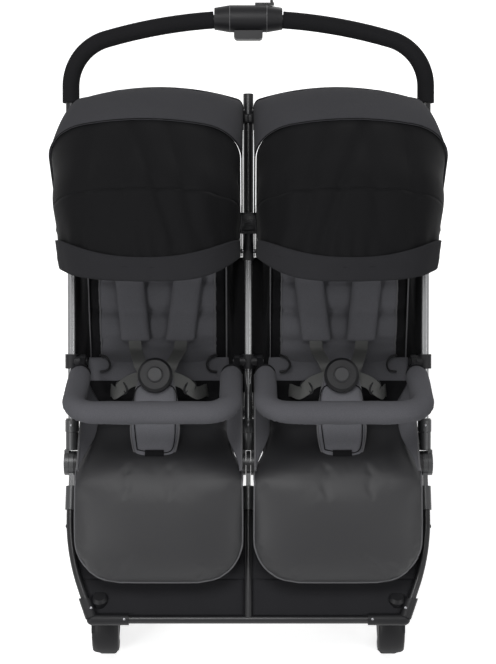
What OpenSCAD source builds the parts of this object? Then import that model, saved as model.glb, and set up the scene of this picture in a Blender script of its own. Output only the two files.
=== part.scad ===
// Side by side double stroller: two seats on one folding frame, in millimetres.
// The front faces -Y, +X is to the right in the front view, Z is up and the floor is Z = 0.

/* [Frame] */
// Height of the leg hinges above the floor
hinge_height = 330; // [300:1:360]
// Lean of the main tubes, degrees from upright
frame_lean = 37.5; // [34:0.5:40]
// Distance from the middle to each outer main tube
side_offset = 346; // [340:1:360]
// Outer diameter of the main tubes
main_tube_d = 16; // [14:0.5:17]
// Wall of every tube
tube_wall = 1.5; // [1:0.1:2.5]
// Distance along a main tube from the hinge to its lower end
main_tube_start = 30; // [28:1:40]
// Length of a main tube
main_tube_length = 430; // [420:1:450]
// Outer diameter of the handle tube and the centre upright
upper_tube_d = 20; // [19:0.5:22]
// Radial play between a sleeve and the main tube that it slides on
slide_clearance = 0.2; // [0.1:0.05:0.5]
// Length of main tube inside a slide sleeve and the upper tube
sleeve_lap = 62; // [54:1:70]
// Length of a slide sleeve below the upper tube
sleeve_length = 36; // [32:1:44]
// Outer diameter of a slide sleeve
sleeve_d = 22; // [21:0.5:24]
// Distance from the start of a slide sleeve up to the crossbars behind the canopies
upper_crossbar_rise = 292; // [280:1:298]
// Diameter of the crossbars behind the canopies and under the seats
crossbar_d = 14; // [12:0.5:16]
// Distance along the main tube to the seat crossbars
seat_crossbar_at = 44; // [42:1:50]

/* [Leg hinges] */
// Diameter of a hinge disc
hinge_d = 48; // [44:1:50]
// Thickness of each leaf of a hinge
leaf_t = 9; // [7:0.5:10]
// Gap between two leaves of a hinge
leaf_gap = 0.5; // [0.3:0.1:1]
// Diameter of a hinge pin
hinge_pin_d = 8; // [6:0.5:10]
// Radial play of a part that turns on a pin
pin_clearance = 0.1; // [0.05:0.05:0.3]
// Diameter of the socket that joins a main tube to its hinge
socket_d = 25; // [23:0.5:26]
// Length of that socket
socket_length = 35; // [30:1:35]
// Diameter of the collar above the socket
collar_d = 27; // [25:0.5:28]
// Length of the collar
collar_length = 26; // [20:1:28]

/* [Handle] */
// Distance from the start of a slide sleeve up to the top of the handle
handle_rise = 470; // [455:1:490]
// Radius of the two handle corners
handle_corner_r = 95; // [85:1:105]
// Outer diameter of the foam grips
grip_d = 33; // [30:0.5:36]
// Distance from the start of a slide sleeve up to the lower end of a grip
grip_rise = 307; // [302:1:317]
// Half width of the middle housing between its two seams
housing_half = 36; // [34:1:40]
// Length of each end cap of the housing
cap_length = 30; // [24:1:34]
// Diameter of the housing
housing_d = 52; // [50:1:56]
// Diameter at the small end of a cap
cap_end_d = 42; // [38:1:46]
// Width of the squeeze trigger
trigger_w = 56; // [48:1:60]
// Depth of the squeeze trigger, front to back
trigger_depth = 20; // [16:1:22]
// How far the trigger stands out of the housing
trigger_out = 15; // [12:1:18]
// Travel of the trigger
trigger_travel = 7; // [5:0.5:7]
// Length of the thumb lock
lock_length = 37; // [32:1:40]
// Width of the thumb lock
lock_w = 12; // [10:1:14]
// Travel of the thumb lock
lock_travel = 7; // [5:0.5:8]
// Gap around the trigger, the lock and the buckle buttons
button_gap = 0.4; // [0.3:0.1:0.8]

/* [Canopies] */
// Outer radius of the canopy about its pivot
canopy_r = 306; // [290:1:312]
// Thickness of a canopy panel
panel_t = 2.5; // [2:0.1:2.5]
// Gap between nested panels
panel_gap = 0.5; // [0.4:0.1:0.8]
// Radius where the side of a panel starts
panel_inner_r = 90; // [85:1:110]
// Radius of the rounded shoulders of a canopy
shoulder_r = 95; // [80:1:110]
// How far the top of a canopy arches above its shoulders
canopy_crown = 12; // [8:1:20]
// Angle of the rear edge, degrees up from straight ahead
rear_edge_a = 124.5; // [123:0.5:125]
// Angle of the seam between the top panel and the front panel
seam_a = 87; // [84:0.5:92]
// Angle of the join inside the front panel
mid_a = 57; // [55:0.5:59]
// Angle of the front hem
hem_a = 26; // [25:0.5:29]
// Overlap of nested panels, degrees
lap_a = 1; // [0.5:0.5:1.5]
// Width of a bow strip
bow_w = 12; // [10:1:14]
// Diameter of a canopy pivot pin
canopy_pin_d = 8; // [6:0.5:10]
// Diameter of a bow's eye
bow_eye_d = 24; // [20:1:28]

/* [Seats] */
// Distance from the middle to the middle of a seat
bay_offset = 178; // [176:1:182]
// Width of a seat base
seat_w = 300; // [280:1:304]
// Depth of a seat base
seat_depth = 227; // [215:1:230]
// Thickness of a seat base
seat_base_t = 10; // [8:1:12]
// Distance from the leg hinges back to the rear edge of a seat base
seat_back = 134; // [130:1:138]
// Width of the seat pad and the backrest pad
pad_w = 296; // [280:1:300]
// Thickness of the seat pad at its crown
seat_pad_t = 26; // [22:1:30]
// Lean of the upright backrest, degrees from upright
back_lean = 22; // [20:0.5:24]
// Length of a backrest board
back_length = 430; // [400:1:440]
// Width of a backrest board
back_w = 276; // [260:1:280]
// Thickness of the backrest and leg rest boards
board_t = 8; // [6:0.5:9]
// Thickness of a backrest pad at its crown
back_pad_t = 30; // [26:1:34]
// Angle of the leg rest below level
leg_rest_drop = 58; // [50:1:62]
// Length of a leg rest
leg_rest_length = 190; // [180:1:200]
// Width of a leg rest pad
leg_pad_w = 306; // [290:1:312]
// Distance from the middle to the middle of a leg rest pad
leg_pad_offset = 170; // [168:1:178]
// Thickness of a leg rest pad at its crown
leg_pad_t = 26; // [22:1:30]
// Diameter of the pins that the backrests and leg rests turn on
seat_pin_d = 6; // [5:0.5:7]
// Diameter of the barrels on those pins
barrel_d = 16; // [14:0.5:17]
// Diameter of a buckle
buckle_d = 66; // [60:1:70]
// Thickness of a buckle
buckle_t = 15; // [13:0.5:17]
// Diameter of a buckle button
buckle_button_d = 31; // [26:1:34]
// Travel of a buckle button
buckle_travel = 2.5; // [2:0.5:3]
// Width of a shoulder pad
shoulder_pad_w = 52; // [46:1:56]
// Width of the webbing
webbing_w = 25; // [20:1:28]
// Distance from the middle of a backrest to the middle of each shoulder pad
shoulder_pad_x = 52; // [46:1:60]
// Length of a shoulder pad
shoulder_pad_length = 190; // [170:1:200]
// Height of the lower end of a shoulder pad above the backrest pivot
shoulder_pad_up = 150; // [140:1:160]
// Length of a crotch pad
crotch_length = 150; // [140:1:160]
// Distance from the rear edge of a seat base forward to the foot of its crotch pad
crotch_forward = 180; // [170:1:190]

/* [Bumper bars] */
// Distance along the main tube to the bumper pivots
bumper_at = 200; // [195:1:210]
// Reach of a bumper bar from its pivot
bumper_reach = 205; // [190:1:215]
// Rise of a bumper bar above level, degrees
bumper_rise = 13; // [10:0.5:16]
// Diameter of the bumper padding
bumper_d = 46; // [40:1:48]
// Bend radius at the bumper corners
bumper_corner_r = 46; // [44:1:60]
// Diameter of a bumper pivot pin
bumper_pin_d = 10; // [8:0.5:12]
// Thickness of a bumper arm
bumper_arm_t = 10; // [8:0.5:11]

/* [Front legs] */
// Slant of the front legs, degrees from upright
front_leg_slant = 54; // [52:0.5:56]
// Diameter of the leg tubes
leg_tube_d = 16; // [14:0.5:17]
// Distance from the hinge to the bend in an outer front leg
leg_bend_at = 100; // [96:1:110]
// Radius of that bend
leg_bend_r = 400; // [360:1:420]

/* [Castors] */
// Distance from the middle to each castor
castor_offset = 285; // [282:1:290]
// Distance of the castor stems behind the front crossbar
castor_set_back = 33.5; // [32:0.5:37]
// Trail of the wheel behind the castor stem
castor_trail = 36; // [30:1:38]
// Diameter of a front wheel
front_wheel_d = 130; // [120:1:132]
// Width of a front tyre
front_tyre_w = 34; // [28:1:36]
// Diameter of a castor stem
stem_d = 12; // [10:0.5:14]
// Diameter of the axles
axle_d = 10; // [8:0.5:12]
// Thickness of a castor hood
hood_t = 4.5; // [3.5:0.5:5]
// Space between a tyre and its hood
hood_gap = 2.5; // [2:0.5:3]
// Space between a hood and the castor bracket above it
hood_clear = 5; // [4:0.5:8]

/* [Rear end] */
// Distance from the hinge to the rear axle
rear_leg_length = 497; // [490:1:505]
// Diameter of a rear wheel
rear_wheel_d = 150; // [140:1:152]
// Width of a rear tyre
rear_tyre_w = 30; // [26:1:34]
// Diameter of the tube around the rear axle
axle_tube_d = 18; // [16:0.5:20]
// Length of the brake pedal
pedal_length = 62; // [50:1:70]

/* [Baskets] */
// Thickness of the basket walls
basket_wall = 2.5; // [2:0.5:4]
// Distance from the middle to the inner side of a basket
basket_inner = 68; // [66:1:76]
// Width of a basket
basket_w = 182; // [170:1:186]
// Distance from the leg hinges forward to the front wall of a basket
basket_front = 86; // [76:1:90]
// Distance from the leg hinges back to the rear edge of a basket
basket_back = 186; // [170:1:188]
// Depth of a basket below the leg hinges
basket_deep = 206; // [180:1:210]

/* [Hidden] */
$fn = 72;
frame_black = [0.10, 0.10, 0.11];
plastic_black = [0.13, 0.13, 0.14];
tube_grey = [0.45, 0.46, 0.48];
cloth_grey = [0.30, 0.31, 0.33];
cloth_dark = [0.16, 0.16, 0.18];
tyre_black = [0.07, 0.07, 0.07];
rim_grey = [0.62, 0.63, 0.65];

// The upper frame is measured from the slide sleeves, which are on the ends of the main tubes
sleeve_start = main_tube_start + main_tube_length - sleeve_lap;
upper_crossbar_at = sleeve_start + upper_crossbar_rise;
handle_at = sleeve_start + handle_rise;
grip_start = sleeve_start + grip_rise;

// The front crossbar clears the castor hoods, and both wheels stand on the floor
crossbar_socket_d = 22;
castor_gap = 0.6;
front_crossbar_height = front_wheel_d + hood_gap + hood_t + hood_clear + crossbar_socket_d / 2;
front_crossbar_at = (hinge_height - front_crossbar_height) / cos(front_leg_slant);
rear_leg_fall = asin((hinge_height - rear_wheel_d / 2) / rear_leg_length);

// The origin is under the middle of the whole stroller, from the front bracket to the handle
front_reach = front_crossbar_at * sin(front_leg_slant) + crossbar_socket_d / 2;
lock_tip = [5, 9];
lock_tip_tilt = 18;
lock_top = housing_d / 2 + button_gap + lock_tip[0] * sin(lock_tip_tilt) + lock_tip[1] * cos(lock_tip_tilt);
lock_reach = lock_w / 2 * cos(frame_lean) + lock_top * sin(frame_lean);
back_reach = handle_at * sin(frame_lean) + max(housing_d / 2, lock_reach);
hinge_forward = hundredth((back_reach - front_reach) / 2);

// Places along the main tubes, in the YZ plane
function along(s) = [-hinge_forward + s * sin(frame_lean), hinge_height + s * cos(frame_lean)];

upper_tube_start = sleeve_start + sleeve_length;
canopy_pivot_at = sleeve_start + sleeve_length / 2;
socket_start = hinge_d / 2 + 2;
collar_start = socket_start + socket_length + 1;
leaf_step = leaf_t + leaf_gap;
socket_collar_length = 18;

// Handle path in the plane of the tubes: each half is a straight run, a corner and half an arch.
// Its values are rounded so that the runs meet exactly.
function hundredth(v) = round(v * 100) / 100;
corner_turn = acos(0.28);
corner_x = side_offset - handle_corner_r;
handle_arch_r = hundredth(handle_corner_r + corner_x / cos(corner_turn));
corner_at = hundredth(handle_at - handle_arch_r + (handle_arch_r - handle_corner_r) * sin(corner_turn));

// Canopy layers: 0 is the fixed top panel, 1 and 2 nest inside it
canopy_inner_x = sleeve_d / 2 + panel_gap;
canopy_outer_x = side_offset + sleeve_d / 2 + 3 * (panel_gap + panel_t);
canopy_x = (canopy_inner_x + canopy_outer_x) / 2;
canopy_half = (canopy_outer_x - canopy_inner_x) / 2;
function layer_in(k) = k * (panel_t + panel_gap);

// Seat hinges
seat_back_y = seat_back - hinge_forward;
seat_top = hinge_height + seat_crossbar_at * cos(frame_lean) + crossbar_d / 2 + seat_base_t;
back_pivot = [seat_back_y + 14, seat_top + 9];
leg_rest_pivot = [seat_back_y - seat_depth - 11, seat_top - 5];
soft_gap = 0.3;
seat_pad_edge = 9;
seat_pad_length = seat_depth - 30;
seat_pad_front = seat_back_y - seat_depth - 4;
seat_channels = [-0.35, 0.35];
seat_groove = 0.3;

// A crotch pad stands with the lower edge of its back on the seat pad
crotch_lean = 50;
crotch_t = 14;
crotch_foot = 33;
crotch_w = 90;
crotch_v = (seat_back_y - crotch_forward + crotch_t / 2 * cos(crotch_lean) - seat_pad_front)
    / (seat_pad_length / 2) - 1;
crotch_rest = cushion_rise(crotch_foot / pad_w, crotch_v, seat_pad_length, seat_pad_t, seat_pad_edge,
                           seat_channels, seat_groove);
crotch_start = [seat_back_y - crotch_forward,
    seat_top + crotch_rest + crotch_t / 2 * sin(crotch_lean) + soft_gap];

// Front leg line: end of the bend and the castor bracket
leg_bend_a = asin(0.352);
leg_bend_x = side_offset - leg_bend_r * (1 - cos(leg_bend_a));
leg_bend_end = leg_bend_at + leg_bend_r * sin(leg_bend_a);
bracket_leg_in = front_crossbar_at - 39;
leg_end = front_crossbar_at - 8;
crossbar_socket_x = castor_offset - 57;
front_crossbar = [-hinge_forward - front_crossbar_at * sin(front_leg_slant), front_crossbar_height];
castor_forward = -front_crossbar[0] - castor_set_back;
// Distance from the middle to an outer front leg below its bend
function leg_x(s) = leg_bend_x - (s - leg_bend_end) * tan(leg_bend_a);
// The same within the bend
function leg_bend_line(s) = side_offset - leg_bend_r + sqrt(pow(leg_bend_r, 2) - pow(s - leg_bend_at, 2));
post_d = 34;
post_bottom = front_crossbar[1] - crossbar_socket_d / 2;
post_top = post_bottom + 40;

// Wheels
front_axle = [-castor_forward + castor_trail, front_wheel_d / 2];
front_wheel_shift = 8;
rear_axle_at = [-hinge_forward + rear_leg_length * cos(rear_leg_fall),
                hinge_height - rear_leg_length * sin(rear_leg_fall)];
rear_leg_x = side_offset - leaf_step;
rear_hub_d = 26;
rear_hub_w = leg_tube_d + 3;
rear_wheel_gap = 3;
rear_wheel_in = rear_leg_x + rear_hub_w / 2 + rear_wheel_gap;
wheel_play = 0.15;

module both_sides() {
    children();
    mirror([1, 0, 0]) children();
}

// A rod along X from x0 to x1
module rod(x0, x1, d) {
    translate([x0, 0, 0]) rotate([0, 90, 0]) cylinder(h = x1 - x0, d = d);
}

// Local Z runs up a main tube from distance s, local -Y faces forward
module on_tube(x, s) {
    translate([x, along(s)[0], along(s)[1]]) rotate([-frame_lean, 0, 0]) children();
}

// Local Z runs down a front leg, local Y faces up and forward
module on_front_leg(x) {
    translate([x, -hinge_forward, hinge_height]) rotate([180 - front_leg_slant, 0, 0]) children();
}

// Local Z runs down a rear leg
module on_rear_leg(x) {
    translate([x, -hinge_forward, hinge_height]) rotate([-90 - rear_leg_fall, 0, 0]) children();
}

// Local Z runs up a backrest, local -Y is its front
module on_backrest(side) {
    translate([side * bay_offset, back_pivot[0], back_pivot[1]]) rotate([-back_lean, 0, 0]) children();
}

// Local Z runs down a leg rest, local Y is its top
module on_leg_rest(side) {
    translate([side * bay_offset, leg_rest_pivot[0], leg_rest_pivot[1]])
        rotate([90 + leg_rest_drop, 0, 0]) children();
}

// Local Z runs up a crotch strap, local -Y is its front
module on_crotch(side) {
    translate([side * bay_offset, crotch_start[0], crotch_start[1]]) rotate([-crotch_lean, 0, 0]) children();
}

// A straight tube up local Z, solid if bore is 0
module pipe(d, bore, h) {
    difference() {
        cylinder(d = d, h = h);
        if (bore > 0) translate([0, 0, -1]) cylinder(d = bore, h = h + 2);
    }
}

module ring(d, bore) {
    difference() {
        circle(d = d);
        if (bore > 0) circle(d = bore);
    }
}

module rounded_rect(w, h, r) {
    translate([-w / 2, r]) square([w, h - 2 * r]);
    translate([-w / 2 + r, 0]) square([w - 2 * r, h]);
    for (x = [-1, 1]) for (y = [r, h - r]) translate([x * (w / 2 - r), y]) circle(r = r);
}

// Height of a cushion's top at the shares u and v of its half width and half length
function channel_dip(v, l, channels) = len(channels) == 0 ? 0
    : max([for (c = channels) exp(-pow((v - c) * l / 2 / 7, 2))]);
function cushion_rise(u, v, l, t, edge, channels, groove) = edge + (t - edge)
    * pow(1 - pow(u, 4), 0.6) * pow(1 - pow(v, 6), 0.6) * (1 - groove * channel_dip(v, l, channels));

// A cushion over a flat base: crowned top, drawn-in sides, sewn channels across it at the given
// shares of its length
module cushion(w, l, t, edge, corner, pull, channels, groove) {
    nu = 14;
    nv = 18;
    function across(u, v) = (w / 2 - pull * (1 - v * v)) * u * sqrt(1 - corner * v * v / 2);
    function down(u, v) = (l / 2 - pull * (1 - u * u)) * v * sqrt(1 - corner * u * u / 2);
    function spot(i, j) = let (u = -1 + 2 * i / nu, v = -1 + 2 * j / nv)
        [across(u, v), l / 2 + down(u, v), cushion_rise(u, v, l, t, edge, channels, groove)];
    top = [for (j = [0:nv]) for (i = [0:nu]) spot(i, j)];
    rim = concat([for (i = [0:nu - 1]) i],
                 [for (j = [0:nv - 1]) j * (nu + 1) + nu],
                 [for (i = [0:nu - 1]) nv * (nu + 1) + nu - i],
                 [for (j = [0:nv - 1]) (nv - j) * (nu + 1)]);
    n = len(rim);
    base = [for (k = rim) [top[k][0], top[k][1], 0]];
    m = len(top);
    faces = concat(
        [for (j = [0:nv - 1]) for (i = [0:nu - 1]) let (k = j * (nu + 1) + i) [k, k + nu + 1, k + nu + 2]],
        [for (j = [0:nv - 1]) for (i = [0:nu - 1]) let (k = j * (nu + 1) + i) [k, k + nu + 2, k + 1]],
        [for (k = [0:n - 1]) [rim[k], rim[(k + 1) % n], m + (k + 1) % n]],
        [for (k = [0:n - 1]) [rim[k], m + (k + 1) % n, m + k]],
        [[for (k = [0:n - 1]) m + k]]);
    polyhedron(points = concat(top, base), faces = faces, convexity = 4);
}

// Main frame

module main_tubes() {
    color(tube_grey) for (x = [-side_offset, 0, side_offset]) on_tube(x, main_tube_start) difference() {
        cylinder(d = main_tube_d, h = main_tube_length);
        translate([0, 0, -1]) cylinder(d = main_tube_d - 2 * tube_wall, h = main_tube_length + 2);
    }
}

// Socket and fixed leaf of one hinge; leaves lists the places of its leaves across the hinge
module hinge_housing(leaves) {
    difference() {
        union() {
            translate([0, 0, socket_start]) cylinder(d = socket_d, h = socket_length);
            for (k = leaves) {
                rod(k * leaf_step - leaf_t / 2, k * leaf_step + leaf_t / 2, hinge_d);
                intersection() {
                    translate([k * leaf_step - leaf_t / 2, -socket_d / 2, 0])
                        cube([leaf_t, socket_d, socket_start + socket_length]);
                    union() {
                        cylinder(d = socket_d, h = socket_start + socket_length);
                        translate([k * leaf_step - leaf_t / 2, -socket_d / 2, 0])
                            cube([leaf_t, socket_d, socket_start + 1]);
                    }
                }
            }
        }
        translate([0, 0, main_tube_start]) cylinder(d = main_tube_d, h = main_tube_length);
        rod(-40, 40, hinge_pin_d);
    }
}

module hinge_housings() {
    color(plastic_black) {
        both_sides() on_tube(side_offset, 0) hinge_housing([1]);
        on_tube(0, 0) hinge_housing([-1, 1]);
        for (x = [-side_offset, 0, side_offset]) on_tube(x, collar_start) difference() {
            union() {
                cylinder(d = collar_d, h = collar_length - 4);
                translate([0, 0, collar_length - 4]) cylinder(d1 = collar_d, d2 = collar_d - 4, h = 4);
            }
            translate([0, 0, -1]) cylinder(d = main_tube_d, h = collar_length + 2);
        }
    }
}

module hinge_pins() {
    head_t = 2;
    head_d = hinge_pin_d + 6;
    half = leaf_step + leaf_t / 2;
    color(rim_grey) for (x = [-side_offset, 0, side_offset]) on_tube(x, 0) {
        rod(-half - leaf_gap, half + leaf_gap, hinge_pin_d);
        rod(half, half + head_t, head_d);
        rod(-half - leaf_gap - head_t, -half - leaf_gap, head_d);
    }
}

module seat_crossbars() {
    color(frame_black) both_sides() difference() {
        on_tube(0, seat_crossbar_at) rod(0, side_offset, crossbar_d);
        on_tube(0, seat_crossbar_at) rod(-1, side_offset + 1, crossbar_d - 2 * tube_wall);
        on_tube(0, 0) cylinder(d = socket_d, h = main_tube_length);
        on_tube(side_offset, 0) cylinder(d = socket_d, h = main_tube_length);
    }
}

module bumper_mount_body(sides) {
    arm_in = main_tube_d / 2 + 5;
    difference() {
        union() {
            translate([0, 0, -14]) cylinder(d = main_tube_d + 10, h = 28);
            for (k = sides) mirror([k < 0 ? 1 : 0, 0, 0]) {
                rod(0, arm_in + 4, 24);
                rod(0, arm_in + 4 + bumper_arm_t + 1, bumper_pin_d);
                rod(arm_in + 4 + bumper_arm_t + 1, arm_in + 4 + bumper_arm_t + 3, bumper_pin_d + 6);
            }
        }
        translate([0, 0, -40]) cylinder(d = main_tube_d, h = 80);
    }
}

module bumper_mounts() {
    color(plastic_black) {
        both_sides() on_tube(side_offset, bumper_at) bumper_mount_body([-1]);
        on_tube(0, bumper_at) bumper_mount_body([-1, 1]);
    }
}

// Seats

module seat_base() {
    pin_half = seat_w / 2 - 20;
    lug = 10;
    difference() {
        union() {
            translate([0, seat_back_y - seat_depth, seat_top - seat_base_t]) linear_extrude(seat_base_t)
                rounded_rect(seat_w, seat_depth, 22);
            // ears over the crossbar, short of the main tubes
            translate([-side_offset / 2 + collar_d / 2 + 4, along(seat_crossbar_at)[0] - 20,
                       seat_top - seat_base_t])
                cube([side_offset - collar_d - 8, 40, seat_base_t]);
            for (x = [-pin_half, pin_half - lug]) {
                translate([x, seat_back_y - 24, seat_top - 1]) cube([lug, 24, 18]);
                translate([x, back_pivot[0], back_pivot[1]]) rod(0, lug, barrel_d);
                translate([x, seat_back_y - 24, seat_top]) cube([lug, back_pivot[0] - seat_back_y + 24, 9]);
                translate([x, leg_rest_pivot[0], leg_rest_pivot[1]]) rod(0, lug, barrel_d - 6);
                translate([x, leg_rest_pivot[0], leg_rest_pivot[1] - 5]) cube([lug, 40, 10]);
            }
            translate([0, back_pivot[0], back_pivot[1]]) rod(-pin_half, pin_half, seat_pin_d);
            translate([0, leg_rest_pivot[0], leg_rest_pivot[1]]) rod(-pin_half, pin_half, seat_pin_d);
        }
    }
}

module seat_bases() {
    color(plastic_black) difference() {
        both_sides() translate([bay_offset, 0, 0]) seat_base();
        for (x = [-side_offset, 0, side_offset]) on_tube(x, 0) cylinder(d = collar_d + 2, h = main_tube_length);
    }
}

module seat_pad(side) {
    color(cloth_grey) translate([side * bay_offset, seat_pad_front, seat_top])
        cushion(pad_w, seat_pad_length, seat_pad_t, seat_pad_edge, 0.14, 3, seat_channels, seat_groove);
}

module left_seat_pad() seat_pad(-1);
module right_seat_pad() seat_pad(1);

module crotch_pads() {
    color(cloth_grey) for (side = [-1, 1]) on_crotch(side) translate([0, crotch_t / 2, 0]) rotate([90, 0, 0])
        linear_extrude(crotch_t)
            polygon([[-crotch_foot, 0], [crotch_foot, 0], [crotch_w / 2, crotch_length * 0.4],
                     [crotch_foot, crotch_length], [-crotch_foot, crotch_length],
                     [-crotch_w / 2, crotch_length * 0.4]]);
}

buckle_recess = buckle_travel + 3;

module buckles() {
    color(plastic_black) for (side = [-1, 1]) on_crotch(side)
        translate([0, -crotch_t / 2, crotch_length - 10]) rotate([90, 0, 0]) difference() {
            union() {
                cylinder(d = buckle_d, h = buckle_t - 4);
                translate([0, 0, buckle_t - 4]) cylinder(d1 = buckle_d, d2 = buckle_d - 10, h = 4);
            }
            translate([0, 0, buckle_t - buckle_recess]) cylinder(d = buckle_button_d + 2 * button_gap, h = 20);
        }
}

module buckle_button(side) {
    color(tube_grey) on_crotch(side)
        translate([0, -crotch_t / 2 - buckle_t + buckle_recess - buckle_travel, crotch_length - 10])
        rotate([90, 0, 0]) {
            cylinder(d = buckle_button_d, h = buckle_recess - 1);
            translate([0, 0, buckle_recess - 1]) cylinder(d1 = buckle_button_d, d2 = buckle_button_d - 6, h = 2);
        }
}

module left_buckle_button() buckle_button(-1);
module right_buckle_button() buckle_button(1);

// Basket outline seen from the side: front wall, floor and rear wall as one bent strip
function from_hinge(back, up) = [back - hinge_forward, hinge_height + up];
basket_hang = seat_top - seat_base_t - hinge_height;
basket_line = [from_hinge(-basket_front, basket_hang), from_hinge(-basket_front, -0.63 * basket_deep),
    from_hinge(24 - basket_front, 16 - basket_deep), from_hinge(0.25 * basket_back, -basket_deep),
    from_hinge(basket_back - 38, 48 - basket_deep), from_hinge(basket_back, 108 - basket_deep)];

module basket(side) {
    function unit(a, b) = (b - a) / norm(b - a);
    function inward(k) = let (n = len(basket_line) - 1,
        d = unit(basket_line[max(k - 1, 0)], basket_line[min(k + 1, n)])) [-d[1], d[0]] * basket_wall;
    inside = [for (k = [0:len(basket_line) - 1]) basket_line[k] + inward(k)];
    strip = concat(basket_line, [for (k = [len(basket_line) - 1:-1:0]) inside[k]]);
    bar_back = seat_crossbar_at * sin(frame_lean) - crossbar_d;
    cheek = concat(basket_line, [from_hinge(90, 0), from_hinge(82, basket_hang - 22),
        from_hinge(bar_back + 2, basket_hang - 22), from_hinge(bar_back, basket_hang)]);
    x0 = side > 0 ? basket_inner : -basket_inner - basket_w;
    color(cloth_dark) translate([x0, 0, 0]) {
        rotate([90, 0, 90]) linear_extrude(basket_w) polygon(strip);
        rotate([90, 0, 90]) linear_extrude(basket_wall) polygon(cheek);
        translate([basket_w - basket_wall, 0, 0]) rotate([90, 0, 90]) linear_extrude(basket_wall) polygon(cheek);
    }
}

module left_basket() basket(-1);
module right_basket() basket(1);

module backrest_board(side) {
    pin_half = seat_w / 2 - 20;
    board_start = 6;
    color(plastic_black) on_backrest(side) difference() {
        union() {
            translate([0, board_t / 2, board_start]) rotate([90, 0, 0]) linear_extrude(board_t)
                rounded_rect(back_w, back_length - board_start, 40);
            rod(-pin_half + 11, pin_half - 11, barrel_d);
        }
        rod(-back_w, back_w, seat_pin_d + 2 * pin_clearance);
        for (x = [-pin_half, pin_half - 10]) translate([x - 1, -20, -20]) cube([12, 40, 40]);
    }
}

back_pad_start = 30;
back_pad_length = back_length + 4 - back_pad_start;
back_pad_edge = 10;
back_channels = [-0.62, -0.3, 0.02, 0.34, 0.66];
back_groove = 0.35;

module backrest_pad(side) {
    color(cloth_grey) on_backrest(side) translate([0, -board_t / 2, back_pad_start]) rotate([90, 0, 0])
        cushion(pad_w, back_pad_length, back_pad_t, back_pad_edge, 0.2, 4, back_channels, back_groove);
}

// Shoulder pads, their webbing and the waist straps of one harness
module shoulder_straps(side) {
    front = -board_t / 2 - back_pad_t - soft_gap;
    pad_t = 9;
    web_t = 2;
    web_below = 34;
    web_above = 40;
    waist_in = 74;
    waist_w = 48;
    waist_up = 66;
    waist_v = (waist_up + webbing_w / 2 - back_pad_start) / (back_pad_length / 2) - 1;
    waist_front = -board_t / 2 - soft_gap
        - cushion_rise(waist_in / (pad_w / 2), waist_v, back_pad_length, back_pad_t, back_pad_edge, [], 0);
    color(plastic_black) on_backrest(side) {
        for (k = [-1, 1]) {
            translate([k * shoulder_pad_x, front, shoulder_pad_up]) rotate([90, 0, 0]) linear_extrude(pad_t)
                rounded_rect(shoulder_pad_w, shoulder_pad_length, 14);
            translate([k * shoulder_pad_x - webbing_w / 2, front - pad_t / 2 - web_t / 2,
                       shoulder_pad_up - web_below])
                cube([webbing_w, web_t, web_below + shoulder_pad_length + web_above]);
        }
        both_sides() translate([waist_in, waist_front - web_t, waist_up]) cube([waist_w, web_t, webbing_w]);
    }
}

module left_backrest_board() backrest_board(-1);
module right_backrest_board() backrest_board(1);
module left_backrest_pad() backrest_pad(-1);
module right_backrest_pad() backrest_pad(1);
module left_shoulder_straps() shoulder_straps(-1);
module right_shoulder_straps() shoulder_straps(1);

module leg_rest_board(side) {
    pin_half = seat_w / 2 - 20;
    color(plastic_black) on_leg_rest(side) difference() {
        union() {
            translate([0, board_t / 2, 4]) rotate([90, 0, 0]) linear_extrude(board_t)
                rounded_rect(back_w, leg_rest_length - 4, 60);
            rod(-pin_half + 11, pin_half - 11, barrel_d - 4);
            translate([-back_w / 2 + 21, -board_t / 2, 0]) cube([back_w - 42, board_t, 70]);
        }
        rod(-back_w, back_w, seat_pin_d + 2 * pin_clearance);
        for (x = [-pin_half, pin_half - 10]) translate([x - 1, -20, -20]) cube([12, 40, 60]);
    }
}

module leg_rest_pad(side) {
    inward = side * (leg_pad_offset - bay_offset);
    color(cloth_grey) on_leg_rest(side) translate([inward, board_t / 2, 12]) rotate([90, 0, 180])
        cushion(leg_pad_w, leg_rest_length - 8, leg_pad_t, 9, 0.42, 3, [], 0);
}

module left_leg_rest_board() leg_rest_board(-1);
module right_leg_rest_board() leg_rest_board(1);
module left_leg_rest_pad() leg_rest_pad(-1);
module right_leg_rest_pad() leg_rest_pad(1);

// Bumper bars

arm_in_x = main_tube_d / 2 + 9.5;
bumper_inner_x = arm_in_x + bumper_arm_t + 5;
bumper_outer_x = side_offset - arm_in_x - bumper_arm_t / 2;
bumper_pad_from = 50;

// Local -Y runs forward along a bumper arm
module on_bumper() {
    translate([0, along(bumper_at)[0], along(bumper_at)[1]]) rotate([-bumper_rise, 0, 0]) children();
}

// The padding seen from above, in the plane of the arms
module bumper_path(d) {
    run = bumper_reach - bumper_corner_r;
    for (x = [bumper_inner_x, bumper_outer_x])
        translate([x, -bumper_pad_from, 0]) rotate([90, 0, 0]) cylinder(d = d, h = run - bumper_pad_from);
    translate([bumper_inner_x + bumper_corner_r, -run, 0]) rotate([0, 0, 180]) rotate_extrude(angle = 90)
        translate([bumper_corner_r, 0]) circle(d = d);
    translate([bumper_outer_x - bumper_corner_r, -run, 0]) rotate([0, 0, 270]) rotate_extrude(angle = 90)
        translate([bumper_corner_r, 0]) circle(d = d);
    translate([0, -bumper_reach, 0])
        rod(bumper_inner_x + bumper_corner_r, bumper_outer_x - bumper_corner_r, d);
}

module bumper_pad(side) {
    color(cloth_grey) mirror([side < 0 ? 1 : 0, 0, 0]) on_bumper() bumper_path(bumper_d);
}

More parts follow.
